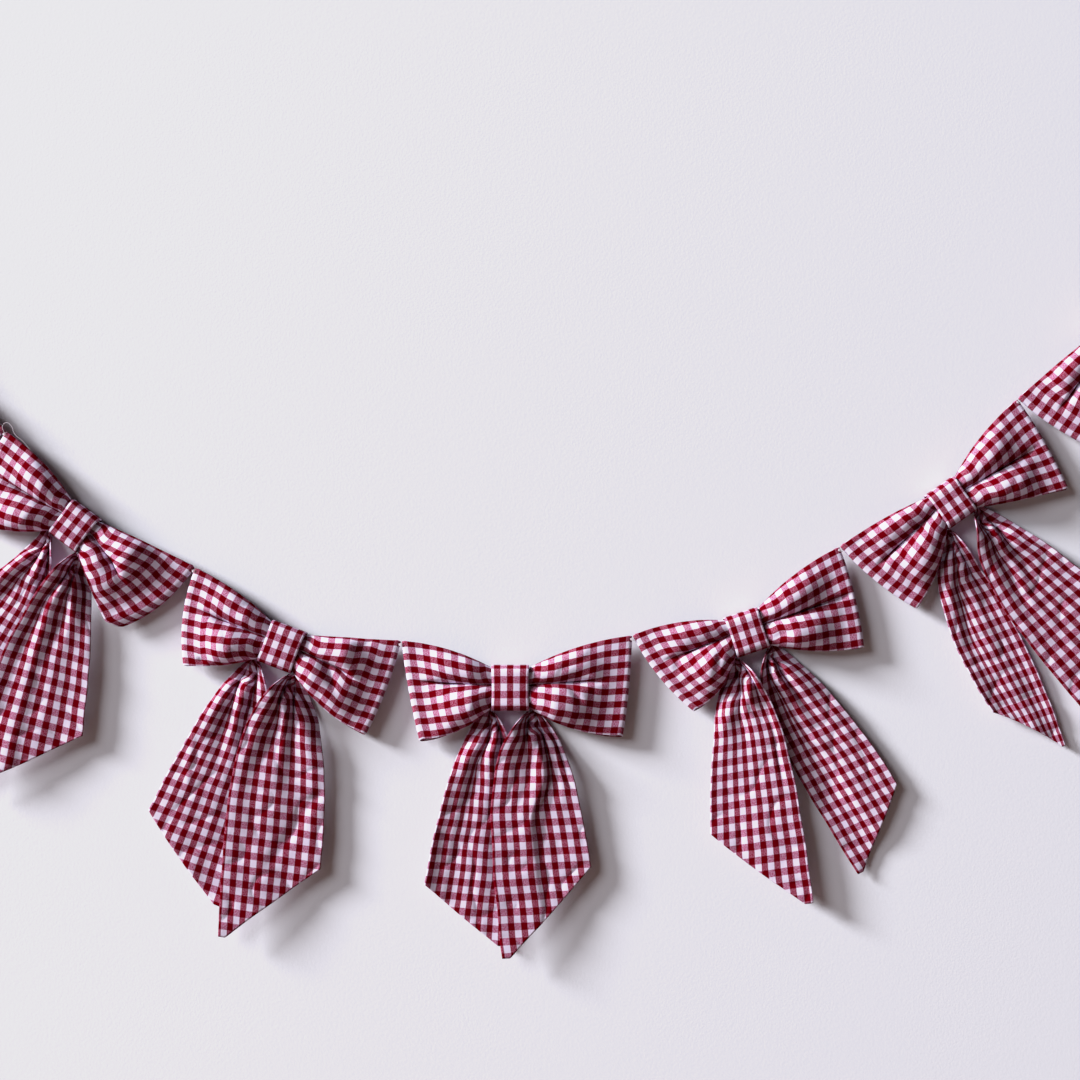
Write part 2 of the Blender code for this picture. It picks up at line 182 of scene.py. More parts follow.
# Rows of the tail strip behind the band, from its middle to where it comes out
NeckRow = namedtuple("NeckRow", "inner_u inner_w outer_u outer_w")
NECK_ROWS = (
    NeckRow(0.0000, -0.0140, 0.0000, 0.0120),
    NeckRow(0.0165, -0.0150, 0.0165, 0.0100),
    NeckRow(0.0190, -0.0175, 0.0265, -0.0045),
    NeckRow(0.0193, -0.0215, 0.0300, -0.0150),
)

# The sewing: stitches across each join, and where the loose thread end runs
THREAD = 0.0005  # how thick it is
THREAD_COLOR = (0.62, 0.55, 0.62, 1.0)
THREAD_SIDES = 10
THREAD_ROUND = 2  # steps of roundness of the loose end
TACKS = 3  # stitches at each join
STITCH = 0.0042  # length of one
STITCH_OUT = 0.0138  # how far off the wall it lies
STITCH_FIRST = 0.0016  # how far below the corner the first one is
STITCH_STEP = 0.0011  # and the next one below it
STITCH_LEAN = 14.0  # degrees by which one leans more than the other
Place = namedtuple("Place", "x z out")
LOOSE_END = (
    Place(-0.4835, 0.2440, 0.0138),
    Place(-0.4850, 0.2500, 0.0145),
    Place(-0.4815, 0.2535, 0.0150),
    Place(-0.4765, 0.2505, 0.0150),
    Place(-0.4735, 0.2430, 0.0145),
    Place(-0.4660, 0.2360, 0.0140),
    Place(-0.4560, 0.2245, 0.0125),
    Place(-0.4475, 0.2140, 0.0115),
)

# Joins between the bows, from the left end of the garland to its right end
Join = namedtuple("Join", "x z")
JOINS = (
    Join(-0.620, 0.421),
    Join(-0.4829, 0.2453),
    Join(-0.3021, 0.1145),
    Join(-0.1044, 0.0443),
    Join(0.1169, 0.0495),
    Join(0.3155, 0.1347),
    Join(0.4858, 0.2761),
    Join(0.6140, 0.4570),
)

# Middle of each band, the tilt of its bow, anticlockwise in degrees, and its size at the band
Bow = namedtuple("Bow", "name x z tilt grip")
BOWS = (
    Bow("bow_1", -0.5775, 0.3129, -51.0, 0.92),
    Bow("bow_2", -0.4165, 0.1549, -37.0, 0.90),
    Bow("bow_3", -0.2184, 0.0394, -21.0, 0.96),
    Bow("bow_4", 0.0000, 0.0000, 0.0, 1.00),
    Bow("bow_5", 0.2261, 0.0529, 18.5, 0.92),
    Bow("bow_6", 0.4214, 0.1770, 35.0, 0.90),
    Bow("bow_7", 0.5810, 0.3377, 50.0, 0.93),
)

# The left and right loop of each bow: its lower corner; how far its top edge, bottom edge and
# end fold bulge; the share of the strip above the crease and how far out the crease runs; and
# how far the back layer's lower corner has slipped out and down from behind the front one
Loop = namedtuple("Loop", "low_u low_w rise drop belly crease reach slip_u slip_w")
LOOPS = {
    "bow_1": (
        Loop(0.092, -0.056, 0.004, 0.006, 0.004, 0.42, 0.75, 0.000, 0.002),
        Loop(0.096, -0.050, 0.003, 0.006, 0.004, 0.40, 0.80, 0.001, 0.003),
    ),
    "bow_2": (
        Loop(0.088, -0.058, 0.005, 0.006, 0.003, 0.45, 0.90, 0.000, 0.000),
        Loop(0.081, -0.056, 0.001, 0.002, 0.008, 0.56, 0.66, 0.017, -0.006),
    ),
    "bow_3": (
        Loop(0.082, -0.0500, 0.004, 0.0035, 0.006, 0.40, 0.85, 0.000, 0.001),
        Loop(0.1049, -0.0489, 0.000, 0.0075, 0.003, 0.49, 0.72, 0.000, 0.002),
    ),
    "bow_4": (
        Loop(0.0866, -0.0491, 0.005, 0.0075, 0.0015, 0.41, 0.85, 0.001, 0.003),
        Loop(0.1077, -0.0452, 0.005, 0.0075, 0.0015, 0.42, 0.75, 0.000, 0.0025),
    ),
    "bow_5": (
        Loop(0.0720, -0.0545, 0.005, 0.0085, 0.005, 0.38, 0.80, 0.000, 0.002),
        Loop(0.1023, -0.0485, 0.005, 0.0050, 0.003, 0.47, 0.95, 0.000, 0.001),
    ),
    "bow_6": (
        Loop(0.0850, -0.0635, 0.0025, 0.0060, 0.004, 0.40, 0.85, 0.000, 0.0015),
        Loop(0.1005, -0.0520, 0.005, 0.0015, 0.0025, 0.50, 0.90, 0.000, 0.0015),
    ),
    "bow_7": (
        Loop(0.0960, -0.0590, 0.001, 0.0060, 0.004, 0.40, 0.80, 0.000, 0.002),
        Loop(0.1000, -0.0520, 0.004, 0.0060, 0.003, 0.46, 0.80, 0.000, 0.002),
    ),
}

# Smaller creases on the loops' front: the bow and side, the shares along and across the strip
# where each starts and ends, how deep it is, or how high where that is below zero, and how wide
Crease = namedtuple("Crease", "from_v from_t to_v to_t depth width")
CREASES = {
    ("bow_4", 1): (
        Crease(0.10, 0.47, 0.52, 0.56, -0.0022, 0.0050),
        Crease(0.42, 0.50, 0.56, 0.68, 0.0026, 0.0040),
    ),
    ("bow_3", 1): (
        Crease(0.30, 0.52, 0.52, 0.72, 0.0024, 0.0045),
        Crease(0.55, 0.42, 0.85, 0.38, 0.0014, 0.0050),
    ),
    ("bow_3", -1): (Crease(0.80, 0.90, 0.72, 1.00, 0.0030, 0.0040),),
    ("bow_5", -1): (
        Crease(0.20, 0.62, 0.45, 0.80, 0.0022, 0.0050),
        Crease(0.68, 0.40, 0.82, 0.55, 0.0026, 0.0045),
    ),
    ("bow_5", 1): (Crease(0.10, 0.78, 0.30, 0.70, 0.0020, 0.0045),),
}

# Each tail: the lengths of its long inner edge and short outer edge; the lean of each edge away
# from the bow's middle, in degrees, at the band and where it has settled; the length over which
# it settles; how far it stands off the wall beside its inner edge and beside its outer edge
Tail = namedtuple(
    "Tail",
    "inner outer in_start in_end in_settle out_start out_end out_settle in_lift out_lift",
)
TAILS = {
    "bow_1": (
        Tail(0.238, 0.168, -45, 2, 0.042, 36, 10, 0.060, 0.0060, 0.0100),
        Tail(0.244, 0.170, -26, 26, 0.100, 46, 26, 0.080, 0.0190, 0.0130),
    ),
    "bow_2": (
        Tail(0.238, 0.171, -52, -10, 0.042, 0, 14, 0.020, 0.0060, 0.0100),
        Tail(0.247, 0.171, -10, 31, 0.145, 54, 27, 0.070, 0.0190, 0.0130),
    ),
    "bow_3": (
        Tail(0.241, 0.176, -56, -6, 0.030, 34, 6, 0.043, 0.0060, 0.0100),
        Tail(0.266, 0.188, -41, 19, 0.058, 53, 9, 0.090, 0.0190, 0.0130),
    ),
    "bow_4": (
        Tail(0.229, 0.176, -48, 4, 0.029, 40, 9, 0.058, 0.0060, 0.0100),
        Tail(0.243, 0.160, -56, 7, 0.050, 50, 8, 0.043, 0.0190, 0.0130),
    ),
    "bow_5": (
        Tail(0.247, 0.167, -32, 12, 0.058, 41, 17, 0.058, 0.0165, 0.0130),
        Tail(0.241, 0.177, -58, 13, 0.034, 36, 3, 0.150, 0.0060, 0.0100),
    ),
    "bow_6": (
        Tail(0.236, 0.182, -6, 30, 0.240, 50, -15, 0.125, 0.0060, 0.0100),
        Tail(0.245, 0.171, -54, 6, 0.048, 32, 17, 0.040, 0.0190, 0.0130),
    ),
    "bow_7": (
        Tail(0.238, 0.174, -16, 26, 0.160, 48, 4, 0.100, 0.0060, 0.0100),
        Tail(0.243, 0.171, -50, -4, 0.048, 32, 2, 0.050, 0.0190, 0.0130),
    ),
}

# The pleats of each tail, from its inner edge to its outer edge: the share of the width where
# a ridge or a trough lies at three lengths below the band; its height at the band, as a share of
# the deepest pleat and below zero for a trough; its height at the foot of the tail, as a share
# of what is left of the pleats there; and the length over which the one gives way to the other
PLEAT_STATIONS = (0.020, 0.060, 0.120)
PLEAT_MOST = 0.0070  # deepest pleat
PLEAT_SLOPE = 0.26  # and most as a share of the tail's width
PLEAT_SHARP = 2.4  # how narrow the troughs are beside the band
PLEAT_SOFTENS = 0.080  # and the length over which they turn soft
PLEAT_FOOT = 0.20  # how much of the pleats is left at the foot of a tail
PLEAT_CLEAR = 0.0013  # least height of a trough off the wall
LEAST_SHARE = 1e-6  # of the width between two pleats
EVEN_SPARE = 0.02  # share of the spare width that is taken up evenly and not by the troughs
Pleat = namedtuple("Pleat", "top middle low height foot reach")
PLAIN_PLEATS = (
    Pleat(0.04, 0.05, 0.05, 0.9, 0.2, 0.065),
    Pleat(0.24, 0.26, 0.25, -1.0, -0.2, 0.065),
    Pleat(0.42, 0.45, 0.45, 0.9, 0.2, 0.070),
    Pleat(0.60, 0.62, 0.65, -1.0, -0.2, 0.065),
    Pleat(0.80, 0.82, 0.82, 0.9, 0.2, 0.070),
    Pleat(1.00, 1.00, 1.00, -0.2, -0.2, 0.065),
)
PLEATS = {
    ("bow_2", -1): (
        Pleat(0.00, 0.00, 0.00, 0.4, -0.4, 0.050),
        Pleat(0.16, 0.12, 0.10, -0.9, -0.6, 0.050),
        Pleat(0.32, 0.27, 0.24, 0.9, 0.5, 0.070),
        Pleat(0.47, 0.62, 0.62, -1.0, -0.3, 0.065),
        Pleat(0.78, 0.85, 0.85, 1.0, 0.3, 0.070),
        Pleat(1.00, 1.00, 1.00, 0.2, -0.2, 0.065),
    ),
    ("bow_2", 1): (
        Pleat(0.03, 0.00, 0.00, 0.7, 0.7, 0.065),
        Pleat(0.36, 0.20, 0.20, -1.0, -0.6, 0.095),
        Pleat(0.48, 0.34, 0.36, 0.6, 0.5, 0.070),
        Pleat(0.54, 0.54, 0.46, -0.9, -0.3, 0.070),
        Pleat(0.63, 0.70, 0.62, 0.9, 0.3, 0.065),
        Pleat(0.88, 0.88, 0.85, -0.6, 0.0, 0.040),
        Pleat(1.00, 1.00, 1.00, 0.0, -0.3, 0.050),
    ),
    ("bow_3", -1): (
        Pleat(0.08, 0.15, 0.00, 0.8, -0.5, 0.065),
        Pleat(0.33, 0.34, 0.10, -0.8, -0.5, 0.050),
        Pleat(0.56, 0.48, 0.35, 0.9, 0.3, 0.055),
        Pleat(0.74, 0.64, 0.50, -1.0, -0.2, 0.070),
        Pleat(0.90, 0.86, 0.80, 0.9, 0.4, 0.065),
        Pleat(1.00, 1.00, 1.00, 0.0, -0.3, 0.065),
    ),
    ("bow_3", 1): (
        Pleat(0.14, 0.12, 0.03, 1.0, 0.3, 0.080),
        Pleat(0.33, 0.40, 0.22, -1.0, -0.2, 0.070),
        Pleat(0.46, 0.52, 0.45, 0.9, 0.1, 0.065),
        Pleat(0.60, 0.62, 0.60, -1.0, -0.1, 0.060),
        Pleat(0.72, 0.80, 0.85, 0.8, 0.3, 0.070),
        Pleat(1.00, 1.00, 1.00, -0.2, -0.5, 0.065),
    ),
    ("bow_4", -1): (
        Pleat(0.06, 0.02, 0.00, 0.8, -0.2, 0.040),
        Pleat(0.18, 0.19, 0.18, -1.0, -0.2, 0.040),
        Pleat(0.30, 0.36, 0.30, 0.9, 0.4, 0.070),
        Pleat(0.44, 0.62, 0.66, -1.0, -1.0, 0.070),
        Pleat(0.68, 0.82, 0.82, 0.9, 0.2, 0.055),
        Pleat(1.00, 1.00, 1.00, -0.2, 2.4, 0.065),
    ),
    ("bow_4", 1): (
        Pleat(0.10, 0.07, 0.05, 0.8, 0.2, 0.060),
        Pleat(0.40, 0.46, 0.22, -0.9, 0.1, 0.050),
        Pleat(0.57, 0.64, 0.42, 1.0, 0.2, 0.100),
        Pleat(0.72, 0.73, 0.49, -1.0, -0.2, 0.095),
        Pleat(0.84, 0.86, 0.78, 0.6, 0.2, 0.060),
        Pleat(0.92, 0.93, 0.90, -0.6, 0.1, 0.040),
        Pleat(1.00, 1.00, 1.00, 0.4, -0.2, 0.060),
    ),
    ("bow_5", -1): (
        Pleat(0.05, 0.04, 0.00, 0.9, 0.0, 0.050),
        Pleat(0.16, 0.17, 0.13, -1.0, -0.12, 0.040),
        Pleat(0.33, 0.42, 0.40, 1.0, 0.05, 0.050),
        Pleat(0.48, 0.58, 0.60, -1.0, -0.1, 0.050),
        Pleat(0.80, 0.82, 0.80, 0.9, 0.15, 0.060),
        Pleat(1.00, 1.00, 1.00, -0.3, -0.1, 0.065),
    ),
    ("bow_5", 1): (
        Pleat(0.00, 0.00, 0.00, 0.9, 0.6, 0.070),
        Pleat(0.22, 0.32, 0.28, -1.0, -0.7, 0.095),
        Pleat(0.37, 0.46, 0.45, 0.9, 0.35, 0.070),
        Pleat(0.50, 0.55, 0.68, -0.8, -0.2, 0.055),
        Pleat(0.68, 0.70, 0.82, 0.9, 0.25, 0.065),
        Pleat(1.00, 1.00, 1.00, -0.5, -0.3, 0.065),
    ),
    ("bow_6", -1): (
        Pleat(0.00, 0.00, 0.05, 0.8, 0.1, 0.050),
        Pleat(0.25, 0.22, 0.25, -0.9, -0.1, 0.050),
        Pleat(0.35, 0.36, 0.40, 0.3, 0.3, 0.055),
        Pleat(0.42, 0.62, 0.72, -0.7, -0.6, 0.120),
        Pleat(0.68, 0.82, 0.92, 1.0, 0.3, 0.065),
        Pleat(1.00, 1.00, 1.00, -0.2, 0.9, 0.065),
    ),
    ("bow_6", 1): (
        Pleat(0.06, 0.14, 0.10, 1.0, 0.3, 0.065),
        Pleat(0.40, 0.36, 0.24, -1.0, -0.3, 0.070),
        Pleat(0.54, 0.46, 0.32, 1.0, 0.15, 0.050),
        Pleat(0.67, 0.60, 0.42, -1.0, -0.25, 0.055),
        Pleat(0.82, 0.76, 0.70, 0.8, 0.2, 0.055),
        Pleat(1.00, 1.00, 1.00, 0.2, -0.1, 0.065),
    ),
}

# Folds that run across a tail's pleats: the length below the band and the share of the width
# where each starts and ends, how deep it is, or how high where that is below zero, and how wide
Fold = namedtuple("Fold", "from_length from_t to_length to_t depth width")
FOLDS = {
    ("bow_3", -1): (
        Fold(0.082, 1.00, 0.118, 0.84, -0.0013, 0.0040),
        Fold(0.118, 0.84, 0.142, 0.72, -0.0010, 0.0040),
    ),
    ("bow_3", 1): (
        Fold(0.114, 0.96, 0.140, 0.76, 0.0018, 0.0050),
        Fold(0.140, 0.76, 0.172, 0.60, 0.0015, 0.0060),
        Fold(0.172, 0.60, 0.194, 0.44, 0.0012, 0.0060),
    ),
    ("bow_4", 1): (Fold(0.134, 0.64, 0.146, 0.76, 0.0010, 0.0060),),
    ("bow_5", -1): (
        Fold(0.028, 0.56, 0.058, 0.34, 0.0022, 0.0028),
        Fold(0.058, 0.34, 0.068, 0.18, 0.0020, 0.0028),
        Fold(0.042, 0.06, 0.084, 0.12, 0.0018, 0.0026),
        Fold(0.084, 0.12, 0.128, 0.14, 0.0016, 0.0026),
    ),
    ("bow_5", 1): (
        Fold(0.098, 0.34, 0.118, 0.52, -0.0016, 0.0030),
        Fold(0.110, 0.34, 0.130, 0.52, 0.0014, 0.0045),
        Fold(0.136, 0.34, 0.168, 0.30, 0.0012, 0.0060),
    ),
    ("bow_6", 1): (Fold(0.050, 0.82, 0.080, 0.96, 0.0022, 0.0030),),
}

# Lights: the angle away from square on to the wall, the angle up from level as it shows on the
# wall, the size and the share of the power
KEY_DISTANCE = 25.0  # far enough for even light along the garland
KEY_COLOR = (0.975, 0.985, 1.0)
FILL_COLOR = (1.0, 0.80, 0.78, 1.0)
Key = namedtuple("Key", "name turn rise size share")
KEYS = (
    Key("near_window", 50.0, 28.0, 10.5, 0.34),
    Key("far_window", 73.0, 28.0, 6.2, 1.85),
)

# How bright light comes out: highlights are held back as film does
FILM_CURVE = ((0.0, 0.0), (0.80, 0.80), (1.10, 0.90), (1.60, 0.96), (3.0, 1.0))

# What the camera looks at, how wide a view it takes in there, and its lens in millimetres
VIEW = Join(0.0284, 0.1415)
VIEW_WIDTH = 1.039
LENS = 70.0
SENSOR = 36.0

# The cotton and its thread: how the threads run, stray and stand up, how soft the checks' edges
# are, and how far the speckles of the mixed checks go towards the colours beside them
CLOTH_ROUGHNESS = 0.95
THREAD_ROUGHNESS = 0.8
THREAD_LONG = 700.0
THREAD_FINE = 1500.0
THREAD_BUMP = 0.5
THREAD_RISE = 0.00025
WEAVE_WANDER = 0.0007
WEAVE_WANDER_SCALE = 160.0
CHECK_BLUR = 0.05
SPECKLE = 2.2
ROSE_TO_RED = 0.45
ROSE_TO_WHITE = 0.17
PINK_TO_ROSE = 0.55
PINK_TO_WHITE = 0.30

# The wall paint: the scale, detail and roughness of the texture that the roller leaves
PAINT_ROUGHNESS = 0.85
PAINT_GLOSS = 0.2
ROLLER = (430.0, 3.0, 0.6)
ROLLER_RISE = 0.0012

# The wall and the floor of the room, placed from what the camera looks at
ROOM = 8.0
WALL_BEHIND = 0.0006  # so that it doesn't cut into the bands' backs
WALL_UP = 0.8
FLOOR_OUT = 3.0
FLOOR_DOWN = 1.1
FLOOR = (0.16, 0.10, 0.075)
WALL_BUMP = 0.09
FLOOR_BUMP = 0.05

# ---------------------------------------------------------------- settings shown in the panel


class GarlandCloth(bpy.types.PropertyGroup):
    """The gingham and how thick it is."""

    check: FloatProperty(
        name="Check width",
        description="Width of one check of the gingham, across the warp",
        default=CHECK,
        unit="LENGTH",
    )
    check_long: FloatProperty(
        name="Check length",
        description="Length of one check of the gingham, along the warp",
        default=CHECK_LONG,
        unit="LENGTH",
    )
    thickness: FloatProperty(
        name="Thickness",
        description="Thickness of the doubled cotton",
        default=0.0013,
        unit="LENGTH",
    )
    red: FloatVectorProperty(
        name="Red",
        description="Checks where both threads are red",
        default=(0.120, 0.0002, 0.0032),
        size=3,
        subtype="COLOR",
    )
    rose: FloatVectorProperty(
        name="Rose",
        description="Checks of white weft over red warp",
        default=(0.257, 0.005, 0.045),
        size=3,
        subtype="COLOR",
    )
    pink: FloatVectorProperty(
        name="Pink",
        description="Checks of red weft over white warp",
        default=(0.378, 0.098, 0.205),
        size=3,
        subtype="COLOR",
    )
    white: FloatVectorProperty(
        name="White",
        description="Checks where both threads are white",
        default=(0.725, 0.640, 0.825),
        size=3,
        subtype="COLOR",
    )


class GarlandStage(bpy.types.PropertyGroup):
    """The wall, the floor and the light."""

    wall: FloatVectorProperty(
        name="Wall",
        description="Paint of the wall behind the garland",
        default=(0.755, 0.758, 0.835),
        size=3,
        subtype="COLOR",
    )
    key: FloatProperty(
        name="Key light",
        description="Power that the large lights at the left share out",
        default=7750.0,
        unit="POWER",
    )
    fill: FloatProperty(
        name="Fill light",
        description="Strength of the even light from all round",
        default=0.030,
        subtype="FACTOR",
    )


# ---------------------------------------------------------------- shared shapes


def smooth(low, high, value):
    """Soft step from 0 at low to 1 at high."""
    share = min(max((value - low) / (high - low), 0.0), 1.0)
    return share * share * (3.0 - 2.0 * share)


def arch(share):
    """0 at both ends and 1 half way."""
    return 4.0 * share * (1.0 - share)


def lobe_angle(ratio):
    """Half angle of the arc that is ratio times as long as its chord."""
    low = 0.0
    high = LOBE_LIMIT
    for _ in range(LOBE_HALVINGS):
        middle = (low + high) / 2.0
        if middle / math.sin(middle) < ratio:
            low = middle
        else:
            high = middle
    return high


def lobe(start, end, length, share):
    """Point of a cloth lobe that spans start to end in an arc of the given length."""
    chord = (end - start).length
    angle = lobe_angle(length / chord)
    turn = angle * (2.0 * share - 1.0)
    along = 0.5 + math.sin(turn) / (2.0 * math.sin(angle))
    rise = chord * (math.cos(turn) - math.cos(angle)) / (2.0 * math.sin(angle))
    place = start.lerp(end, along)
    return Vector((place.x, place.y, rise))


def to_bow(bow, join):
    """A join's place in the bow's own u and w."""
    tilt = math.radians(bow.tilt)
    across = join.x - bow.x
    up = join.z - bow.z
    return Vector(
        (
            across * math.cos(tilt) + up * math.sin(tilt),
            up * math.cos(tilt) - across * math.sin(tilt),
        )
    )


def to_row(bow, point):
    """A bow's u, w and d as a place in the garland's frame, which starts at the last join."""
    tilt = math.radians(bow.tilt)
    x = bow.x + point.x * math.cos(tilt) - point.y * math.sin(tilt)
    z = bow.z + point.x * math.sin(tilt) + point.y * math.cos(tilt)
    return Vector((x - JOINS[-1].x, -point.z, z - JOINS[-1].z))


def cloth_shares(count):
    """Shares of the width for a pressed tube's columns, closer together at its edges."""
    inner = RIM_STEPS[-1]
    middle = [inner + (1.0 - 2.0 * inner) * step / count for step in range(count + 1)]
    return list(RIM_STEPS[:-1]) + middle + [1.0 - step for step in RIM_STEPS[-2::-1]]


def rim_height(index, last):
    """Half thickness of a pressed tube at a column, 1 away from its edges."""
    place = min(index, last - index)
    return RIM_HEIGHTS[place] if place < len(RIM_HEIGHTS) else 1.0


def ripple(place, size, seed):
    """Small soft unevenness of cloth, between -1 and 1."""
    return noise.noise(Vector((place.x / size, place.y / size, seed)))


def ripples(place, grain, seed):
    """Height of the cloth's fine and broad ripples."""
    fine = grain.fine * ripple(place, grain.fine_size, seed)
    return fine + grain.broad * ripple(place, grain.broad_size, seed + BROAD_SEED)


def crumple(place, grain, seed):
    """Depth of the fine creases that cotton keeps from being folded."""
    ridge = abs(ripple(place, grain.crumple_size, seed + CRUMPLE_SEED))
    return CRUMPLE * (1.0 - ridge) ** CRUMPLE_SHARP


# ---------------------------------------------------------------- a pressed tube of cloth


def sheet_normals(grid, closed):
    """Direction out of the front of every point of a grid of rows."""
    count = len(grid)
    normals = []
    for index, row in enumerate(grid):
        before = grid[index - 1] if closed else grid[max(index - 1, 0)]
        after = grid[(index + 1) % count] if closed else grid[min(index + 1, count - 1)]
        line = []
        for column in range(len(row)):
            along = after[column] - before[column]
            across = row[min(column + 1, len(row) - 1)] - row[max(column - 1, 0)]
            normal = across.cross(along)
            line.append(normal.normalized() if normal.length > 0.0 else Vector((0, -1, 0)))
        normals.append(line)
    return normals


def tube_mesh(name, grid, weave, closed, thickness):
    """Closed mesh of a pressed tube: a front and a back round the grid's middle sheet.

    weave holds the warp and weft of every grid point in metres. At the back the weave carries on
    round the first edge.
    """
    normals = sheet_normals(grid, closed)
    last = len(grid[0]) - 1
    half = thickness / 2.0
    cloth = bmesh.new()
    layer = cloth.loops.layers.uv.new(WEAVE_MAP)
    front = []
    back = []
    for row, line in zip(grid, normals):
        front_row = []
        back_row = []
        for column, (point, normal) in enumerate(zip(row, line)):
            height = half * rim_height(column, last)
            vert = cloth.verts.new(point + normal * height)
            front_row.append(vert)
            edge = column in (0, last)
            back_row.append(vert if edge else cloth.verts.new(point - normal * height))
        front.append(front_row)
        back.append(back_row)

    def quad(corners, marks):
        face = cloth.faces.new(corners)
        for loop, mark in zip(face.loops, marks):
            loop[layer].uv = mark

    steps = len(grid) if closed else len(grid) - 1
    for index in range(steps):
        following = (index + 1) % len(grid)
        for column in range(last):
            cells = ((index, column), (index, column + 1))
            cells += ((following, column + 1), (following, column))
            marks = [weave[i][j] for i, j in cells]
            if following < index:
                marks[2:] = [weave[len(grid)][column + 1], weave[len(grid)][column]]
            quad([front[i][j] for i, j in cells], marks)
            turned = [(-warp, weft) for warp, weft in marks]
            quad([back[i][j] for i, j in reversed(cells)], turned[::-1])
    if not closed:
        close_end(front[0], back[0], weave[0], quad, False)
        close_end(front[-1], back[-1], weave[-1], quad, True)
    mesh = bpy.data.meshes.new(name)
    cloth.to_mesh(mesh)
    cloth.free()
    return mesh


def close_end(front, back, marks, quad, turned):
    """Faces across a tube's open end."""
    for column in range(len(front) - 1):
        corners = [front[column], front[column + 1], back[column + 1], back[column]]
        labels = [marks[column], marks[column + 1], marks[column + 1], marks[column]]
        pairs = list(dict.fromkeys(zip(corners, labels)))
        if not turned:
            pairs.reverse()
        kept = []
        for vert, label in pairs:
            if vert not in [other for other, _ in kept]:
                kept.append((vert, label))
        if len(kept) > 2:
            quad([vert for vert, _ in kept], [label for _, label in kept])


def add_tube(name, bow, grid, weave, closed, thickness):
    """A pressed tube of gingham as a finished piece of the garland."""
    places = [[to_row(bow, point) for point in row] for row in grid]
    mesh = tube_mesh(name, places, weave, closed, thickness)
    mesh.materials.append(gingham())
    mesh.shade_smooth()
    piece = bpy.data.objects.new(name, mesh)
    bpy.context.scene.collection.objects.link(piece)
    return piece


# ---------------------------------------------------------------- the loops


def end_corners(bow, join, loop, side):
    """Top and bottom ends of the end fold's middle line, and the way it faces, for u > 0."""
    half = bpy.context.scene.garland_cloth.thickness / 2.0
    place = to_bow(bow, join)
    top = Vector((side * place.x - CORNER_GAP / 2.0, place.y))
    bottom = Vector((loop.low_u, loop.low_w))
    edge = (bottom - top).normalized()
    outward = Vector((-edge.y, edge.x))
    return top - outward * half, bottom - outward * half, outward


def edge_height(bow, v):
    """Height above the wall of the front layer's edges and crease."""
    rest = FRONT_REST * bow.grip
    return rest + (FOLD_FRONT - rest) * v + FRONT_SWELL * arch(v)


def end_line(corners, loop, t, inset):
    """The end fold's line, set in by the given amount."""
    top_end, bottom_end, outward = corners
    return top_end.lerp(bottom_end, t) + outward * (loop.belly * arch(t) - inset)


def groove(start, end, place, depth, width):
    """Depth at a place of a soft groove from start to end that dies away at both ends."""
    span = end - start
    away = place - start
    along = away.dot(span) / span.length_squared
    off = (away - span * along).length / width
    taper = smooth(*GROOVE_OPENS, along) * (1.0 - smooth(*GROOVE_CLOSES, along))
    return depth * taper * math.exp(-off * off)


def crease_depth(bow, side, v, t):
    """How far the smaller creases lower the loop's front."""
    depth = 0.0
    for crease in CREASES.get((bow.name, side), ()):
        start = Vector((crease.from_v, crease.from_t)) * LOOP_WIDTH
        end = Vector((crease.to_v, crease.to_t)) * LOOP_WIDTH
        place = Vector((v, t)) * LOOP_WIDTH
        depth += groove(start, end, place, crease.depth, crease.width)
    return depth


def front_point(bow, corners, loop, v, t):
    """The loop's front layer: v runs from the band to the end fold, t from top to bottom."""
    inset = (FOLD_FRONT - FOLD_BACK) / 2.0
    side_u = BAND_HALF_WIDTH * bow.grip
    neck = NECK_HALF_HEIGHT * bow.grip
    top = Vector((side_u, neck)).lerp(end_line(corners, loop, 0.0, inset), v)
    top.y += loop.rise * arch(v)
    bottom = Vector((side_u, -neck)).lerp(end_line(corners, loop, 1.0, inset), v)
    bottom.y -= loop.drop * arch(v)
    crease_end = end_line(corners, loop, loop.crease, inset)
    crease = Vector((side_u, NECK_CREASE_W * bow.grip)).lerp(crease_end, v)
    if t <= loop.crease:
        folded = lobe(top, crease, LOOP_WIDTH * loop.crease, t / loop.crease)
    else:
        rest = 1.0 - loop.crease
        folded = lobe(crease, bottom, LOOP_WIDTH * rest, (t - loop.crease) / rest)
    plain = lobe(top, bottom, LOOP_WIDTH, t)
    plain.z *= PLAIN_RISE
    belly = loop.belly * arch(t) * v * v
    plain.x += belly * corners[2].x
    plain.y += belly * corners[2].y
    point = folded.lerp(plain, smooth(loop.reach - CREASE_BLEND, loop.reach, v))
    point.z *= 1.0 - smooth(FLATTEN_FROM, 1.0, v)
    point.z += edge_height(bow, v)
    return point


def back_point(bow, corners, loop, v, t):
    """The loop's back layer, gathered tighter at the band and slipped down at the fold."""
    point = front_point(bow, corners, loop, v, t)
    swelling = point.z - edge_height(bow, v)
    point.x += loop.slip_u * v * t
    point.y -= NECK_INSET * (1.0 - v) * (1.0 - 2.0 * t) + loop.slip_w * v * t
    drop = smooth(BACK_CLEAR, BACK_DOWN, v)
    rest = BACK_REST * bow.grip
    point.z = rest + (FOLD_BACK - rest) * drop + BACK_NESTING * swelling * (1.0 - drop)
    return point


def fold_point(corners, loop, t, angle):
    """The end fold at an angle round it, from the front layer's side to the back one's."""
    radius = (FOLD_FRONT - FOLD_BACK) / 2.0
    turn = math.radians(angle)
    place = end_line(corners, loop, t, radius * (1.0 - math.cos(turn)))
    slip = t * (0.5 + 0.5 * angle / 90.0)
    return Vector(
        (
            place.x + loop.slip_u * slip,
            place.y - loop.slip_w * slip,
            (FOLD_FRONT + FOLD_BACK) / 2.0 - radius * math.sin(turn),
        )
    )


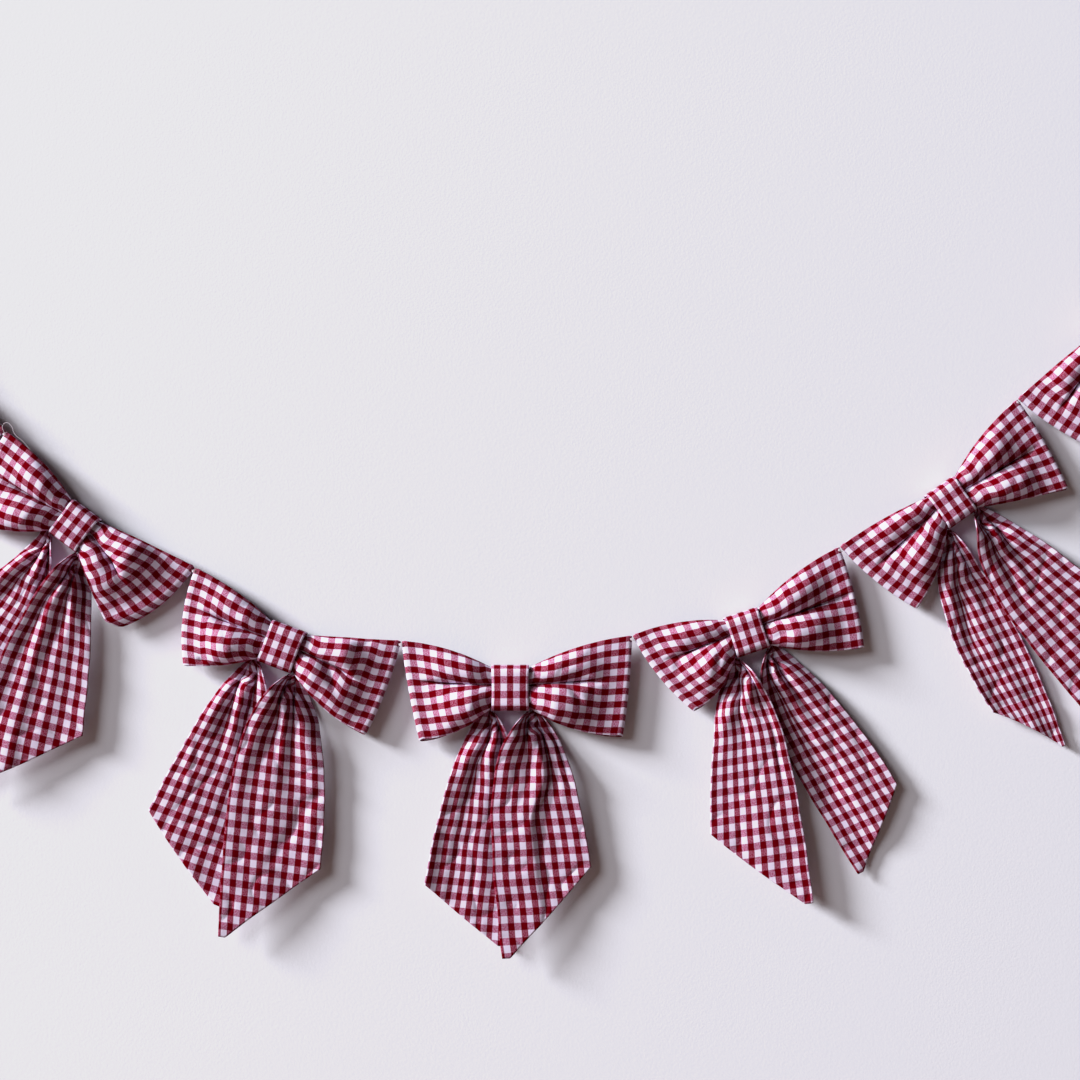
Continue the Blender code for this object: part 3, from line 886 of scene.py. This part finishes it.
def loop_rows(bow, join, loop, side, shares):
    """Rows across one loop, from the band's side round the end fold and back."""
    corners = end_corners(bow, join, loop, side)
    seed = bow.x * LOOP_SEED + side
    rows = []
    for step in range(FRONT_ROWS + 1):
        v = step / FRONT_ROWS
        row = [front_point(bow, corners, loop, v, t) for t in shares]
        fades = smooth(loop.reach - CREASE_FADES[0], loop.reach + CREASE_FADES[1], v)
        sunk = smooth(*CREASE_OPENS, v) * (1.0 - fades)
        for point, t in zip(row, shares):
            point.z -= crease_depth(bow, side, v, t) * smooth(0.0, CREASE_HEM, min(t, 1.0 - t))
            off = (t - loop.crease) * LOOP_WIDTH
            off /= CREASE_ABOVE if off < 0.0 else CREASE_BELOW
            point.z -= CREASE_SINK * sunk * math.exp(-off * off)
            small = ripples(point, LOOP_GRAIN, seed) - crumple(point, LOOP_GRAIN, seed)
            point.z += small * arch(v)
        rows.append(row)
    for angle in FOLD_STEPS:
        rows.append([fold_point(corners, loop, t, angle) for t in shares])
    for step in range(BACK_ROWS, -1, -1):
        v = step / BACK_ROWS
        rows.append([back_point(bow, corners, loop, v, t) for t in shares])
    return [[Vector((side * p.x, p.y, p.z)) for p in row] for row in rows]


def middle_row(row, other):
    """The row half way between two rows, at the middle of the band."""
    return [(a + b) / 2.0 for a, b in zip(row, other)]


def across_weave(row, width, dips):
    """Warp position of every point of a row.

    On ridges the cloth shows at its real width. What a gather hides is taken up where it dips.
    """
    steps = [(b - a).length for a, b in zip(row, row[1:])]
    spare = width - sum(steps)
    if spare <= 0.0:
        steps = [step * width / sum(steps) for step in steps]
    else:
        pull = [step * (HIDES_EVENLY + a + b) for step, a, b in zip(steps, dips, dips[1:])]
        share = spare / sum(pull)
        steps = [step + share * extra for step, extra in zip(steps, pull)]
    marks = [0.0]
    for step in steps:
        marks.append(marks[-1] + step)
    return marks


def low_places(row):
    """How low each point of a row lies, from 0 on its ridges to 1 in its deepest trough."""
    heights = [point.z for point in row]
    top = max(heights)
    depth = max(top - min(heights), LEAST_DEPTH)
    return [((top - height) / depth) ** LOW_SHARP for height in heights]


def loops_piece(bow, left_join, right_join):
    """The grid and the weave of one bow's loop strip, a closed ring of rows."""
    shares = cloth_shares(LOOP_COLUMNS)
    left, right = LOOPS[bow.name]
    weave = []
    right_rows = loop_rows(bow, right_join, right, 1, shares)
    left_rows = loop_rows(bow, left_join, left, -1, shares)
    fold = FRONT_ROWS + 1 + len(FOLD_STEPS) // 2
    for rows in (right_rows, left_rows):
        marks = [across_weave(row, LOOP_CHECKS * CHECK, low_places(row)) for row in rows]
        lengths = [[0.0] * len(shares) for _ in rows]
        for way, order in ((1, range(fold - 1, -1, -1)), (-1, range(fold + 1, len(rows)))):
            for index in order:
                for column, place in enumerate(rows[index]):
                    step = (place - rows[index + way][column]).length
                    lengths[index][column] = lengths[index + way][column] + way * step
        weave.append(
            [
                [(warp + LOOP_TURNED * CHECK, weft + CHECK_LONG) for warp, weft in zip(*line)]
                for line in zip(marks, lengths)
            ]
        )
    right_weave, left_weave = weave
    front = middle_row(left_rows[0], right_rows[0])
    back = middle_row(left_rows[-1], right_rows[-1])
    grid = [front] + right_rows + [back] + left_rows[::-1]
    half = BAND_HALF_WIDTH * bow.grip
    start = [(warp, weft + half) for warp, weft in right_weave[0]]
    middle = [(warp, weft - half) for warp, weft in right_weave[-1]]
    finish = [(warp, weft + half) for warp, weft in left_weave[0]]
    marks = [start] + right_weave + [middle] + left_weave[::-1] + [finish]
    return grid, marks


# ---------------------------------------------------------------- the tails


def edge_line(start, lean_start, lean_end, settle, length):
    """Points along a tail's edge, one a millimetre, as its lean settles."""
    place = Vector(start)
    line = [place.copy()]
    for count in range(int(length / EDGE_STEP) + 2):
        fade = math.exp(-(count + 0.5) * EDGE_STEP / settle)
        lean = math.radians(lean_end + (lean_start - lean_end) * fade)
        place = place + Vector((math.sin(lean), -math.cos(lean))) * EDGE_STEP
        line.append(place)
    return line


def along_line(line, length):
    """Point at a length along an edge line."""
    place = length / EDGE_STEP
    index = min(int(place), len(line) - 2)
    return line[index].lerp(line[index + 1], place - index)


def across_tail(lines, length, t):
    """Point between a tail's edge lines at a length and a share of the width."""
    inner, outer = [along_line(line, length) for line in lines]
    return inner.lerp(outer, t)


def tail_length(tail, t):
    """Length of the tail at t, 0 at its long inner edge and 1 at its short outer one."""
    slant = max(t - TIP_BLUNT, 0.0) / (1.0 - TIP_BLUNT)
    return tail.inner + (tail.outer - tail.inner) * slant


def pleat_place(pleat, length):
    """Where a pleat lies across the tail at a length from the band."""
    first, second, third = PLEAT_STATIONS
    upper = smooth(first, second, length)
    lower = smooth(second, third, length)
    return pleat.top + (pleat.middle - pleat.top) * upper + (pleat.low - pleat.middle) * lower


def pleat_profile(pleats, t, length):
    """Height of the pleats, between -1 and 1: broad ridges with sharp troughs between."""
    before = None
    for pleat in pleats:
        place = pleat_place(pleat, length)
        fade = math.exp(-((length / pleat.reach) ** 2))
        foot = PLEAT_FOOT * pleat.foot
        height = foot + (pleat.height - foot) * fade
        if t <= place:
            if before is None:
                return height
            share = (t - before[0]) / max(place - before[0], LEAST_SHARE)
            low, high = sorted((before[1], height))
            rise = share if height > before[1] else 1.0 - share
            soft = smooth(0.0, 1.0, rise)
            sharp = 1.0 - (1.0 - rise) ** PLEAT_SHARP
            near = math.exp(-((length / PLEAT_SOFTENS) ** 2))
            return low + (high - low) * (soft + (sharp - soft) * near)
        before = (place, height)
    return before[1]


def fold_depth(fold, lines, place):
    """How far a fold across the pleats lowers a tail at a place."""
    start = across_tail(lines, fold.from_length, fold.from_t)
    end = across_tail(lines, fold.to_length, fold.to_t)
    return groove(start, end, place, fold.depth, fold.width)


def tail_point(bow, tail, side, lines, length, t):
    """A tail's middle sheet at a length from the band and a share of its width."""
    inner, outer = [along_line(line, length) for line in lines]
    place = inner.lerp(outer, t)
    neck = TAIL_NECK * bow.grip
    lift = tail.in_lift + (tail.out_lift - tail.in_lift) * smooth(*LIFT_CHANGES, t)
    rise_from, rise_to = [a + (b - a) * t for a, b in zip(INNER_RISE, OUTER_RISE)]
    height = neck + (lift - neck) * smooth(rise_from, rise_to, length)
    swell = smooth(0.0, SWELL_RISE, length - rise_from) * (1.0 - t) ** 0.5
    height += NECK_SWELL * swell * (1.0 - smooth(*SWELL_FALL, length - rise_from))
    most = min(height - PLEAT_CLEAR, (outer - inner).length * PLEAT_SLOPE, PLEAT_MOST)
    wave = most * pleat_profile(PLEATS.get((bow.name, side), PLAIN_PLEATS), t, length)
    settled = smooth(*BILLOW_SETTLES, length / tail_length(tail, t))
    billow = BILLOW * settled * math.sin(2.0 * math.pi * t) * (t - 0.5)
    seed = bow.x * TAIL_SEED + side
    small = ripples(place, TAIL_GRAIN, seed) * smooth(0.0, RIPPLES_START, length)
    small -= crumple(place, TAIL_GRAIN, seed) * smooth(0.0, CRUMPLES_START, length)
    for fold in FOLDS.get((bow.name, side), ()):
        small -= fold_depth(fold, lines, place)
    wander = ripple(Vector((length, t * WANDER_ACROSS)), WANDER_SIZE, seed + WANDER_SEED)
    place.x += EDGE_WANDER * wander
    return Vector((place.x, place.y, height + wave + billow + small))


def tail_rows(bow, tail, side, shares):
    """Rows across one tail from beside the middle of the band to the cut end, with weave."""
    leans = (
        (INNER_START, tail.in_start, tail.in_end, tail.in_settle),
        (OUTER_START, tail.out_start, tail.out_end, tail.out_settle),
    )
    lines = [edge_line(Vector(start) * bow.grip, *lean, tail.inner) for start, *lean in leans]
    pleats = PLEATS.get((bow.name, side), PLAIN_PLEATS)
    turned = TAIL_TURNED[side] * CHECK
    # the weave is worked out along level rows, so the checks stay square to the tail
    levels = []
    for step in range(TAIL_ROWS + 1):
        length = tail.inner * step / TAIL_ROWS
        row = [tail_point(bow, tail, side, lines, length, t) for t in shares]
        troughs = [max(-pleat_profile(pleats, t, length), 0.0) for t in shares]
        dips = [trough**DIP_SHARP + EVEN_SPARE for trough in troughs]
        levels.append(across_weave(row, TAIL_CLOTH_WIDTH, dips))
    rows = []
    weave = []
    neck = TAIL_NECK * bow.grip
    count = len(NECK_ROWS) * NECK_STEPS
    for row, following in zip(NECK_ROWS, NECK_ROWS[1:] + (INNER_START + OUTER_START,)):
        for step in range(NECK_STEPS):
            share = step / NECK_STEPS
            mix = [a + (b - a) * share for a, b in zip(row, following)]
            inner = Vector(mix[:2])
            outer = Vector(mix[2:])
            places = [inner.lerp(outer, t) * bow.grip for t in shares]
            back = -NECK_WEAVE * (count - len(rows))
            weave.append([(mark + turned, back) for mark in levels[0]])
            rows.append([Vector((place.x, place.y, neck)) for place in places])
    for step in range(TAIL_ROWS + 1):
        v = step / TAIL_ROWS
        points = []
        marks = []
        for column, t in enumerate(shares):
            length = v * tail_length(tail, t)
            points.append(tail_point(bow, tail, side, lines, length, t))
            level = length / tail.inner * TAIL_ROWS
            index = min(int(level), TAIL_ROWS - 1)
            low, high = levels[index][column], levels[index + 1][column]
            marks.append((low + (high - low) * (level - index) + turned, length))
        rows.append(points)
        weave.append(marks)
    return rows, weave


def tails_piece(bow):
    """The grid and the weave of one bow's tail strip, an open strip of rows."""
    shares = cloth_shares(TAIL_COLUMNS)
    left, right = TAILS[bow.name]
    left_rows, left_weave = tail_rows(bow, left, -1, shares)
    right_rows, right_weave = tail_rows(bow, right, 1, shares)
    left_rows = [[Vector((-p.x, p.y, p.z)) for p in row] for row in left_rows]
    return left_rows[:0:-1] + right_rows, left_weave[:0:-1] + right_weave


# ---------------------------------------------------------------- the band


def band_outline():
    """Rounded outline of the band's outer face in w and d, from the middle of its back."""
    corners = (
        (-1, 0.0, BAND_BACK_RADIUS, -90),
        (-1, BAND_DEPTH, BAND_FRONT_RADIUS, -180),
        (1, BAND_DEPTH, BAND_FRONT_RADIUS, 90),
        (1, 0.0, BAND_BACK_RADIUS, 0),
    )
    outline = [(0.0, 0.0)]
    for up, depth, radius, start in corners:
        centre_w = up * (BAND_HALF_HEIGHT - radius)
        centre_d = depth - radius if depth > 0.0 else radius
        for step in range(BAND_CORNER_STEPS + 1):
            angle = math.radians(start - 90.0 * step / BAND_CORNER_STEPS)
            outline.append(
                (centre_w + radius * math.cos(angle), centre_d + radius * math.sin(angle))
            )
    steps = []
    for place, following in zip(outline, outline[1:] + outline[:1]):
        gap = math.dist(place, following)
        count = BAND_STRAIGHT_STEPS if gap > BAND_FRONT_RADIUS else 1
        for step in range(count):
            share = step / count
            steps.append(tuple(a + (b - a) * share for a, b in zip(place, following)))
    return steps


def band_piece(bow):
    """The grid and the weave of one bow's band, a closed ring of rows."""
    shares = cloth_shares(BAND_COLUMNS)
    half = BAND_CLOTH / 2.0
    grid = []
    lengths = [0.0]
    outline = band_outline()
    for w, d in outline + outline[:1]:
        shrink_w = w * (1.0 - half / BAND_HALF_HEIGHT)
        shrink_d = half + d * (1.0 - 2.0 * half / BAND_DEPTH)
        front = smooth(BAND_DEPTH * BAND_FRONT_FROM, BAND_DEPTH, d)
        belly = BAND_BELLY * front
        waist = BAND_HALF_WIDTH - BAND_WAIST * front * arch(0.5 + 0.5 * w / BAND_HALF_HEIGHT)
        row = []
        for t in shares:
            u = (2.0 * t - 1.0) * waist
            row.append(Vector((u, shrink_w, shrink_d + belly * arch(t))) * bow.grip)
        grid.append(row)
        if len(grid) > 1:
            middle = len(row) // 2
            lengths.append(lengths[-1] + (row[middle] - grid[-2][middle]).length)
    top = lengths[max(range(len(outline)), key=lambda index: outline[index][0])]
    weave = [
        [((BAND_CHECKS * t - BAND_LEFT_CHECK) * CHECK, top - length) for t in shares]
        for length in lengths
    ]
    return grid[:-1], weave


# ---------------------------------------------------------------- materials


class Nodes:
    """A new material, with short calls for building its nodes."""

    def __init__(self, name, roughness):
        self.material = bpy.data.materials.new(name)
        self.material.use_nodes = True
        self.tree = self.material.node_tree
        self.shader = self.tree.nodes["Principled BSDF"]
        self.output = self.tree.nodes["Material Output"]
        self.shader.inputs["Roughness"].default_value = roughness

    def add(self, kind, **settings):
        node = self.tree.nodes.new(kind)
        for name, value in settings.items():
            setattr(node, name, value)
        return node

    def link(self, source, target):
        self.tree.links.new(source, target)

    def put(self, socket, value):
        if isinstance(value, bpy.types.NodeSocket):
            self.link(value, socket)
        else:
            socket.default_value = value

    def math(self, operation, first, second=0.0, third=0.0):
        node = self.add("ShaderNodeMath", operation=operation)
        for socket, value in zip(node.inputs, (first, second, third)):
            self.put(socket, value)
        return node.outputs[0]

    def mix(self, factor, first, second):
        """One colour mixed into another. The node's colour sockets come after its others."""
        node = self.add("ShaderNodeMix", data_type="RGBA")
        self.put(node.inputs[0], factor)
        self.put(node.inputs[6], first)
        self.put(node.inputs[7], second)
        return node.outputs[2]

    def step(self, value, low, high):
        node = self.add("ShaderNodeMapRange", interpolation_type="SMOOTHSTEP")
        self.put(node.inputs["Value"], value)
        self.put(node.inputs["From Min"], low)
        self.put(node.inputs["From Max"], high)
        return node.outputs[0]

    def noise(self, place, scale, detail=2.0, roughness=0.5):
        node = self.add("ShaderNodeTexNoise")
        self.put(node.inputs["Vector"], place)
        self.put(node.inputs["Scale"], scale)
        self.put(node.inputs["Detail"], detail)
        self.put(node.inputs["Roughness"], roughness)
        return node

    def threads(self, place, scale):
        """Noise drawn out into threads that run one way."""
        node = self.add("ShaderNodeMapping", vector_type="POINT")
        self.put(node.inputs["Vector"], place)
        self.put(node.inputs["Scale"], scale)
        return self.noise(node.outputs[0], 1.0, 1.0).outputs["Fac"]

    def bump(self, height, strength, distance):
        """The shader's surface raised by a height."""
        node = self.add("ShaderNodeBump")
        self.put(node.inputs["Strength"], strength)
        self.put(node.inputs["Distance"], distance)
        self.put(node.inputs["Height"], height)
        self.link(node.outputs[0], self.shader.inputs["Normal"])


def gingham_material():
    """Gingham cotton: red and white stripes of warp and weft, with their mixed checks."""
    cloth = bpy.context.scene.garland_cloth
    nodes = Nodes("gingham_cotton", CLOTH_ROUGHNESS)
    uv = nodes.add("ShaderNodeUVMap", uv_map=WEAVE_MAP).outputs[0]
    shift = nodes.add("ShaderNodeVectorMath", operation="MULTIPLY_ADD")
    nodes.put(shift.inputs[0], nodes.noise(uv, WEAVE_WANDER_SCALE).outputs["Color"])
    nodes.put(shift.inputs[1], (WEAVE_WANDER, WEAVE_WANDER, 0.0))
    nodes.put(shift.inputs[2], uv)
    parts = nodes.add("ShaderNodeSeparateXYZ")
    nodes.put(parts.inputs[0], shift.outputs[0])
    stripes = []
    for axis, check in enumerate((cloth.check, cloth.check_long)):
        place = nodes.math("MULTIPLY", parts.outputs[axis], 1.0 / check)
        wave = nodes.math("PINGPONG", nodes.math("ADD", place, 0.5), 1.0)
        stripes.append(nodes.step(wave, 0.5 - CHECK_BLUR, 0.5 + CHECK_BLUR))
    warp, weft = stripes

    # the two mixed checks are speckled, because a thread of each colour shows by turns
    across = nodes.threads(uv, (THREAD_LONG, THREAD_FINE, 1.0))
    along = nodes.threads(uv, (THREAD_FINE, THREAD_LONG, 1.0))
    speckle = nodes.math("SUBTRACT", nodes.math("ADD", across, along), 1.0)
    factor = nodes.step(nodes.math("MULTIPLY_ADD", speckle, SPECKLE, 0.5), 0.0, 1.0)
    colors = (cloth.red, cloth.white, cloth.rose, cloth.pink)
    red, white, rose, pink = [(*color, 1.0) for color in colors]
    rose_dark = nodes.mix(ROSE_TO_RED, rose, red)
    rose_light = nodes.mix(ROSE_TO_WHITE, rose, white)
    pink_dark = nodes.mix(PINK_TO_ROSE, pink, rose)
    pink_light = nodes.mix(PINK_TO_WHITE, pink, white)
    rose_check = nodes.mix(factor, rose_dark, rose_light)
    pink_check = nodes.mix(factor, pink_dark, pink_light)
    in_red_weft = nodes.mix(warp, pink_check, red)
    in_white_weft = nodes.mix(warp, white, rose_check)
    color = nodes.mix(weft, in_white_weft, in_red_weft)
    nodes.link(color, nodes.shader.inputs["Base Color"])
    nodes.shader.inputs["Specular IOR Level"].default_value = 0.0
    nodes.bump(nodes.math("ADD", across, along), THREAD_BUMP, THREAD_RISE)
    return nodes.material


def gingham():
    """The garland's one cloth."""
    return bpy.data.materials.get("gingham_cotton") or gingham_material()


def thread_material():
    """Off-white cotton sewing thread."""
    nodes = Nodes("sewing_thread", THREAD_ROUGHNESS)
    nodes.shader.inputs["Base Color"].default_value = THREAD_COLOR
    return nodes.material


def wall_material(name, color, strength):
    """Matt wall paint with a roller's faint texture, seen from its front only."""
    nodes = Nodes(name, PAINT_ROUGHNESS)
    nodes.shader.inputs["Base Color"].default_value = (*color, 1.0)
    nodes.shader.inputs["Specular IOR Level"].default_value = PAINT_GLOSS
    place = nodes.add("ShaderNodeTexCoord").outputs["Object"]
    nodes.bump(nodes.noise(place, *ROLLER).outputs["Fac"], strength, ROLLER_RISE)
    clear = nodes.add("ShaderNodeBsdfTransparent")
    side = nodes.add("ShaderNodeNewGeometry").outputs["Backfacing"]
    blend = nodes.add("ShaderNodeMixShader")
    nodes.link(side, blend.inputs[0])
    nodes.link(nodes.shader.outputs[0], blend.inputs[1])
    nodes.link(clear.outputs[0], blend.inputs[2])
    nodes.link(blend.outputs[0], nodes.output.inputs["Surface"])
    return nodes.material


# ---------------------------------------------------------------- operators


class GARLAND_OT_loops(bpy.types.Operator):
    """Make the loop strips of all the bows"""

    bl_idname = "garland.loops"
    bl_label = "Loop strips"

    def execute(self, context):
        cloth = context.scene.garland_cloth
        for bow, left_join, right_join in zip(BOWS, JOINS, JOINS[1:]):
            grid, weave = loops_piece(bow, left_join, right_join)
            name = f"{bow.name}_loop_strip"
            piece = add_tube(name, bow, grid, weave, True, cloth.thickness)
            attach(piece, "root")
            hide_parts(f"{bow.name}_loops")
        return {"FINISHED"}


class GARLAND_OT_tails(bpy.types.Operator):
    """Make the tail strips of all the bows"""

    bl_idname = "garland.tails"
    bl_label = "Tail strips"

    def execute(self, context):
        cloth = context.scene.garland_cloth
        for bow in BOWS:
            grid, weave = tails_piece(bow)
            name = f"{bow.name}_tail_strip"
            piece = add_tube(name, bow, grid, weave, False, cloth.thickness)
            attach(piece, "root")
            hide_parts(f"{bow.name}_tails")
        return {"FINISHED"}


class GARLAND_OT_bands(bpy.types.Operator):
    """Make the bands round the middles of all the bows"""

    bl_idname = "garland.bands"
    bl_label = "Bands"

    def execute(self, context):
        for bow in BOWS:
            grid, weave = band_piece(bow)
            name = f"{bow.name}_band_strip"
            piece = add_tube(name, bow, grid, weave, True, BAND_CLOTH)
            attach(piece, "root")
            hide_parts(f"{bow.name}_band")
        return {"FINISHED"}


class GARLAND_OT_sewing(bpy.types.Operator):
    """Tack the bows together at their top corners and leave one thread end loose"""

    bl_idname = "garland.sewing"
    bl_label = "Sewing"

    def execute(self, context):
        thread = thread_material()
        bpy.ops.object.select_all(action="DESELECT")
        for join in JOINS[1:-1]:
            for number in range(TACKS):
                self.add_stitch(join, number)
        for piece in context.scene.objects:
            piece.select_set(piece.name.startswith("stitch"))
        bpy.ops.object.join()
        tacks = context.object
        tacks.name = "corner_tacks"
        for piece in (tacks, self.add_loose_end(context)):
            piece.data.materials.clear()
            piece.data.materials.append(thread)
            bpy.ops.object.select_all(action="DESELECT")
            piece.select_set(True)
            context.view_layer.objects.active = piece
            bpy.ops.object.transform_apply(location=True, rotation=True, scale=True)
            bpy.ops.object.shade_smooth()
            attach(piece, "root")
        return {"FINISHED"}

    def add_stitch(self, join, number):
        """One short stitch across the gap between two corners."""
        place = (
            join.x - JOINS[-1].x,
            -STITCH_OUT,
            join.z - JOINS[-1].z - STITCH_FIRST - STITCH_STEP * number,
        )
        lean = math.radians(90.0 + STITCH_LEAN * (number - 1))
        bpy.ops.mesh.primitive_cylinder_add(
            vertices=THREAD_SIDES,
            radius=THREAD / 2.0,
            depth=STITCH,
            location=place,
            rotation=(0.0, lean, 0.0),
        )
        bpy.context.object.name = f"stitch_{number}"

    def add_loose_end(self, context):
        """The thread end that curls up at the join of the first two bows."""
        bpy.ops.curve.primitive_bezier_curve_add()
        curve = context.object
        curve.name = "loose_thread"
        spline = curve.data.splines[0]
        spline.bezier_points.add(len(LOOSE_END) - len(spline.bezier_points))
        for knot, place in zip(spline.bezier_points, LOOSE_END):
            knot.handle_left_type = knot.handle_right_type = "AUTO"
            knot.co = (place.x - JOINS[-1].x, -place.out, place.z - JOINS[-1].z)
        curve.data.bevel_depth = THREAD / 2.0
        curve.data.bevel_resolution = THREAD_ROUND
        curve.data.use_fill_caps = True
        bpy.ops.object.convert(target="MESH")
        return context.object


class GARLAND_OT_stage(bpy.types.Operator):
    """Set the wall, the floor, the light and the camera"""

    bl_idname = "garland.stage"
    bl_label = "Stage"

    def execute(self, context):
        stage = context.scene.garland_stage
        middle = Vector((VIEW.x - JOINS[-1].x, 0.0, VIEW.z - JOINS[-1].z))
        wall = wall_material("wall_paint", stage.wall, WALL_BUMP)
        floor = wall_material("floor_stain", FLOOR, FLOOR_BUMP)
        for name, turn, place, material in (
            ("wall", 90.0, (middle.x, WALL_BEHIND, middle.z + WALL_UP), wall),
            ("floor", 0.0, (middle.x, -FLOOR_OUT, middle.z - FLOOR_DOWN), floor),
        ):
            bpy.ops.object.select_all(action="DESELECT")
            bpy.ops.mesh.primitive_plane_add(
                size=ROOM, location=place, rotation=(math.radians(turn), 0.0, 0.0)
            )
            plane = context.object
            plane.name = name
            bpy.ops.object.transform_apply(location=True, rotation=True, scale=True)
            plane.data.materials.append(material)
        self.add_lights(context, middle, stage)
        self.add_camera(context, middle)
        return {"FINISHED"}

    def add_lights(self, context, middle, stage):
        """Two large soft lights to the left, and even light from all round."""
        for name, turn, rise, size, power in KEYS:
            data = bpy.data.lights.new(name, "AREA")
            data.shape = "DISK"
            data.size = size
            data.energy = power * stage.key
            data.color = KEY_COLOR
            lamp = bpy.data.objects.new(name, data)
            context.scene.collection.objects.link(lamp)
            turn = math.radians(turn)
            rise = math.radians(rise)
            aside = math.sin(turn)
            way = Vector((-aside * math.cos(rise), -math.cos(turn), aside * math.sin(rise)))
            lamp.location = middle + way * KEY_DISTANCE
            lamp.rotation_euler = (-way).to_track_quat("-Z", "Y").to_euler()
            lamp.visible_camera = False
        world = bpy.data.worlds.new("studio")
        world.use_nodes = True
        light = world.node_tree.nodes["Background"]
        light.inputs[0].default_value = FILL_COLOR
        light.inputs[1].default_value = stage.fill
        context.scene.world = world
        view = context.scene.view_settings
        view.view_transform = "Standard"
        view.use_curve_mapping = True
        curve = view.curve_mapping
        curve.clip_max_x = FILM_CURVE[-1][0]
        points = curve.curves[3].points  # the curve of all three colours together
        for point, place in zip(points, (FILM_CURVE[0], FILM_CURVE[-1])):
            point.location = place
            point.handle_type = "VECTOR"
        for place in FILM_CURVE[1:-1]:
            points.new(*place).handle_type = "VECTOR"
        curve.update()

    def add_camera(self, context, middle):
        """A camera square on to the wall."""
        data = bpy.data.cameras.new("camera")
        data.lens = LENS
        data.sensor_width = SENSOR
        camera = bpy.data.objects.new("camera", data)
        context.scene.collection.objects.link(camera)
        camera.location = middle + Vector((0.0, -VIEW_WIDTH * LENS / SENSOR, 0.0))
        camera.rotation_euler = (math.radians(90.0), 0.0, 0.0)
        context.scene.camera = camera


class GARLAND_PT_panel(bpy.types.Panel):
    """Lists the garland's settings and steps"""

    bl_idname = "GARLAND_PT_panel"
    bl_label = "Bow garland"
    bl_space_type = "VIEW_3D"
    bl_region_type = "UI"
    bl_category = "Garland"

    def draw(self, context):
        for group in (context.scene.garland_cloth, context.scene.garland_stage):
            for name in group.__annotations__:
                self.layout.prop(group, name)
        for step in STEPS:
            self.layout.operator(step.bl_idname)


STEPS = (
    GARLAND_OT_loops,
    GARLAND_OT_tails,
    GARLAND_OT_bands,
    GARLAND_OT_sewing,
    GARLAND_OT_stage,
)
CLASSES = (GarlandCloth, GarlandStage, *STEPS, GARLAND_PT_panel)


def register():
    for item in CLASSES:
        bpy.utils.register_class(item)
    bpy.types.Scene.garland_cloth = PointerProperty(type=GarlandCloth)
    bpy.types.Scene.garland_stage = PointerProperty(type=GarlandStage)


def unregister():
    del bpy.types.Scene.garland_stage
    del bpy.types.Scene.garland_cloth
    for item in reversed(CLASSES):
        bpy.utils.unregister_class(item)


def main():
    register()
    bpy.ops.garland.loops()
    bpy.ops.garland.tails()
    bpy.ops.garland.bands()
    bpy.ops.garland.sewing()
    bpy.ops.garland.stage()


if __name__ == "__main__":
    main()
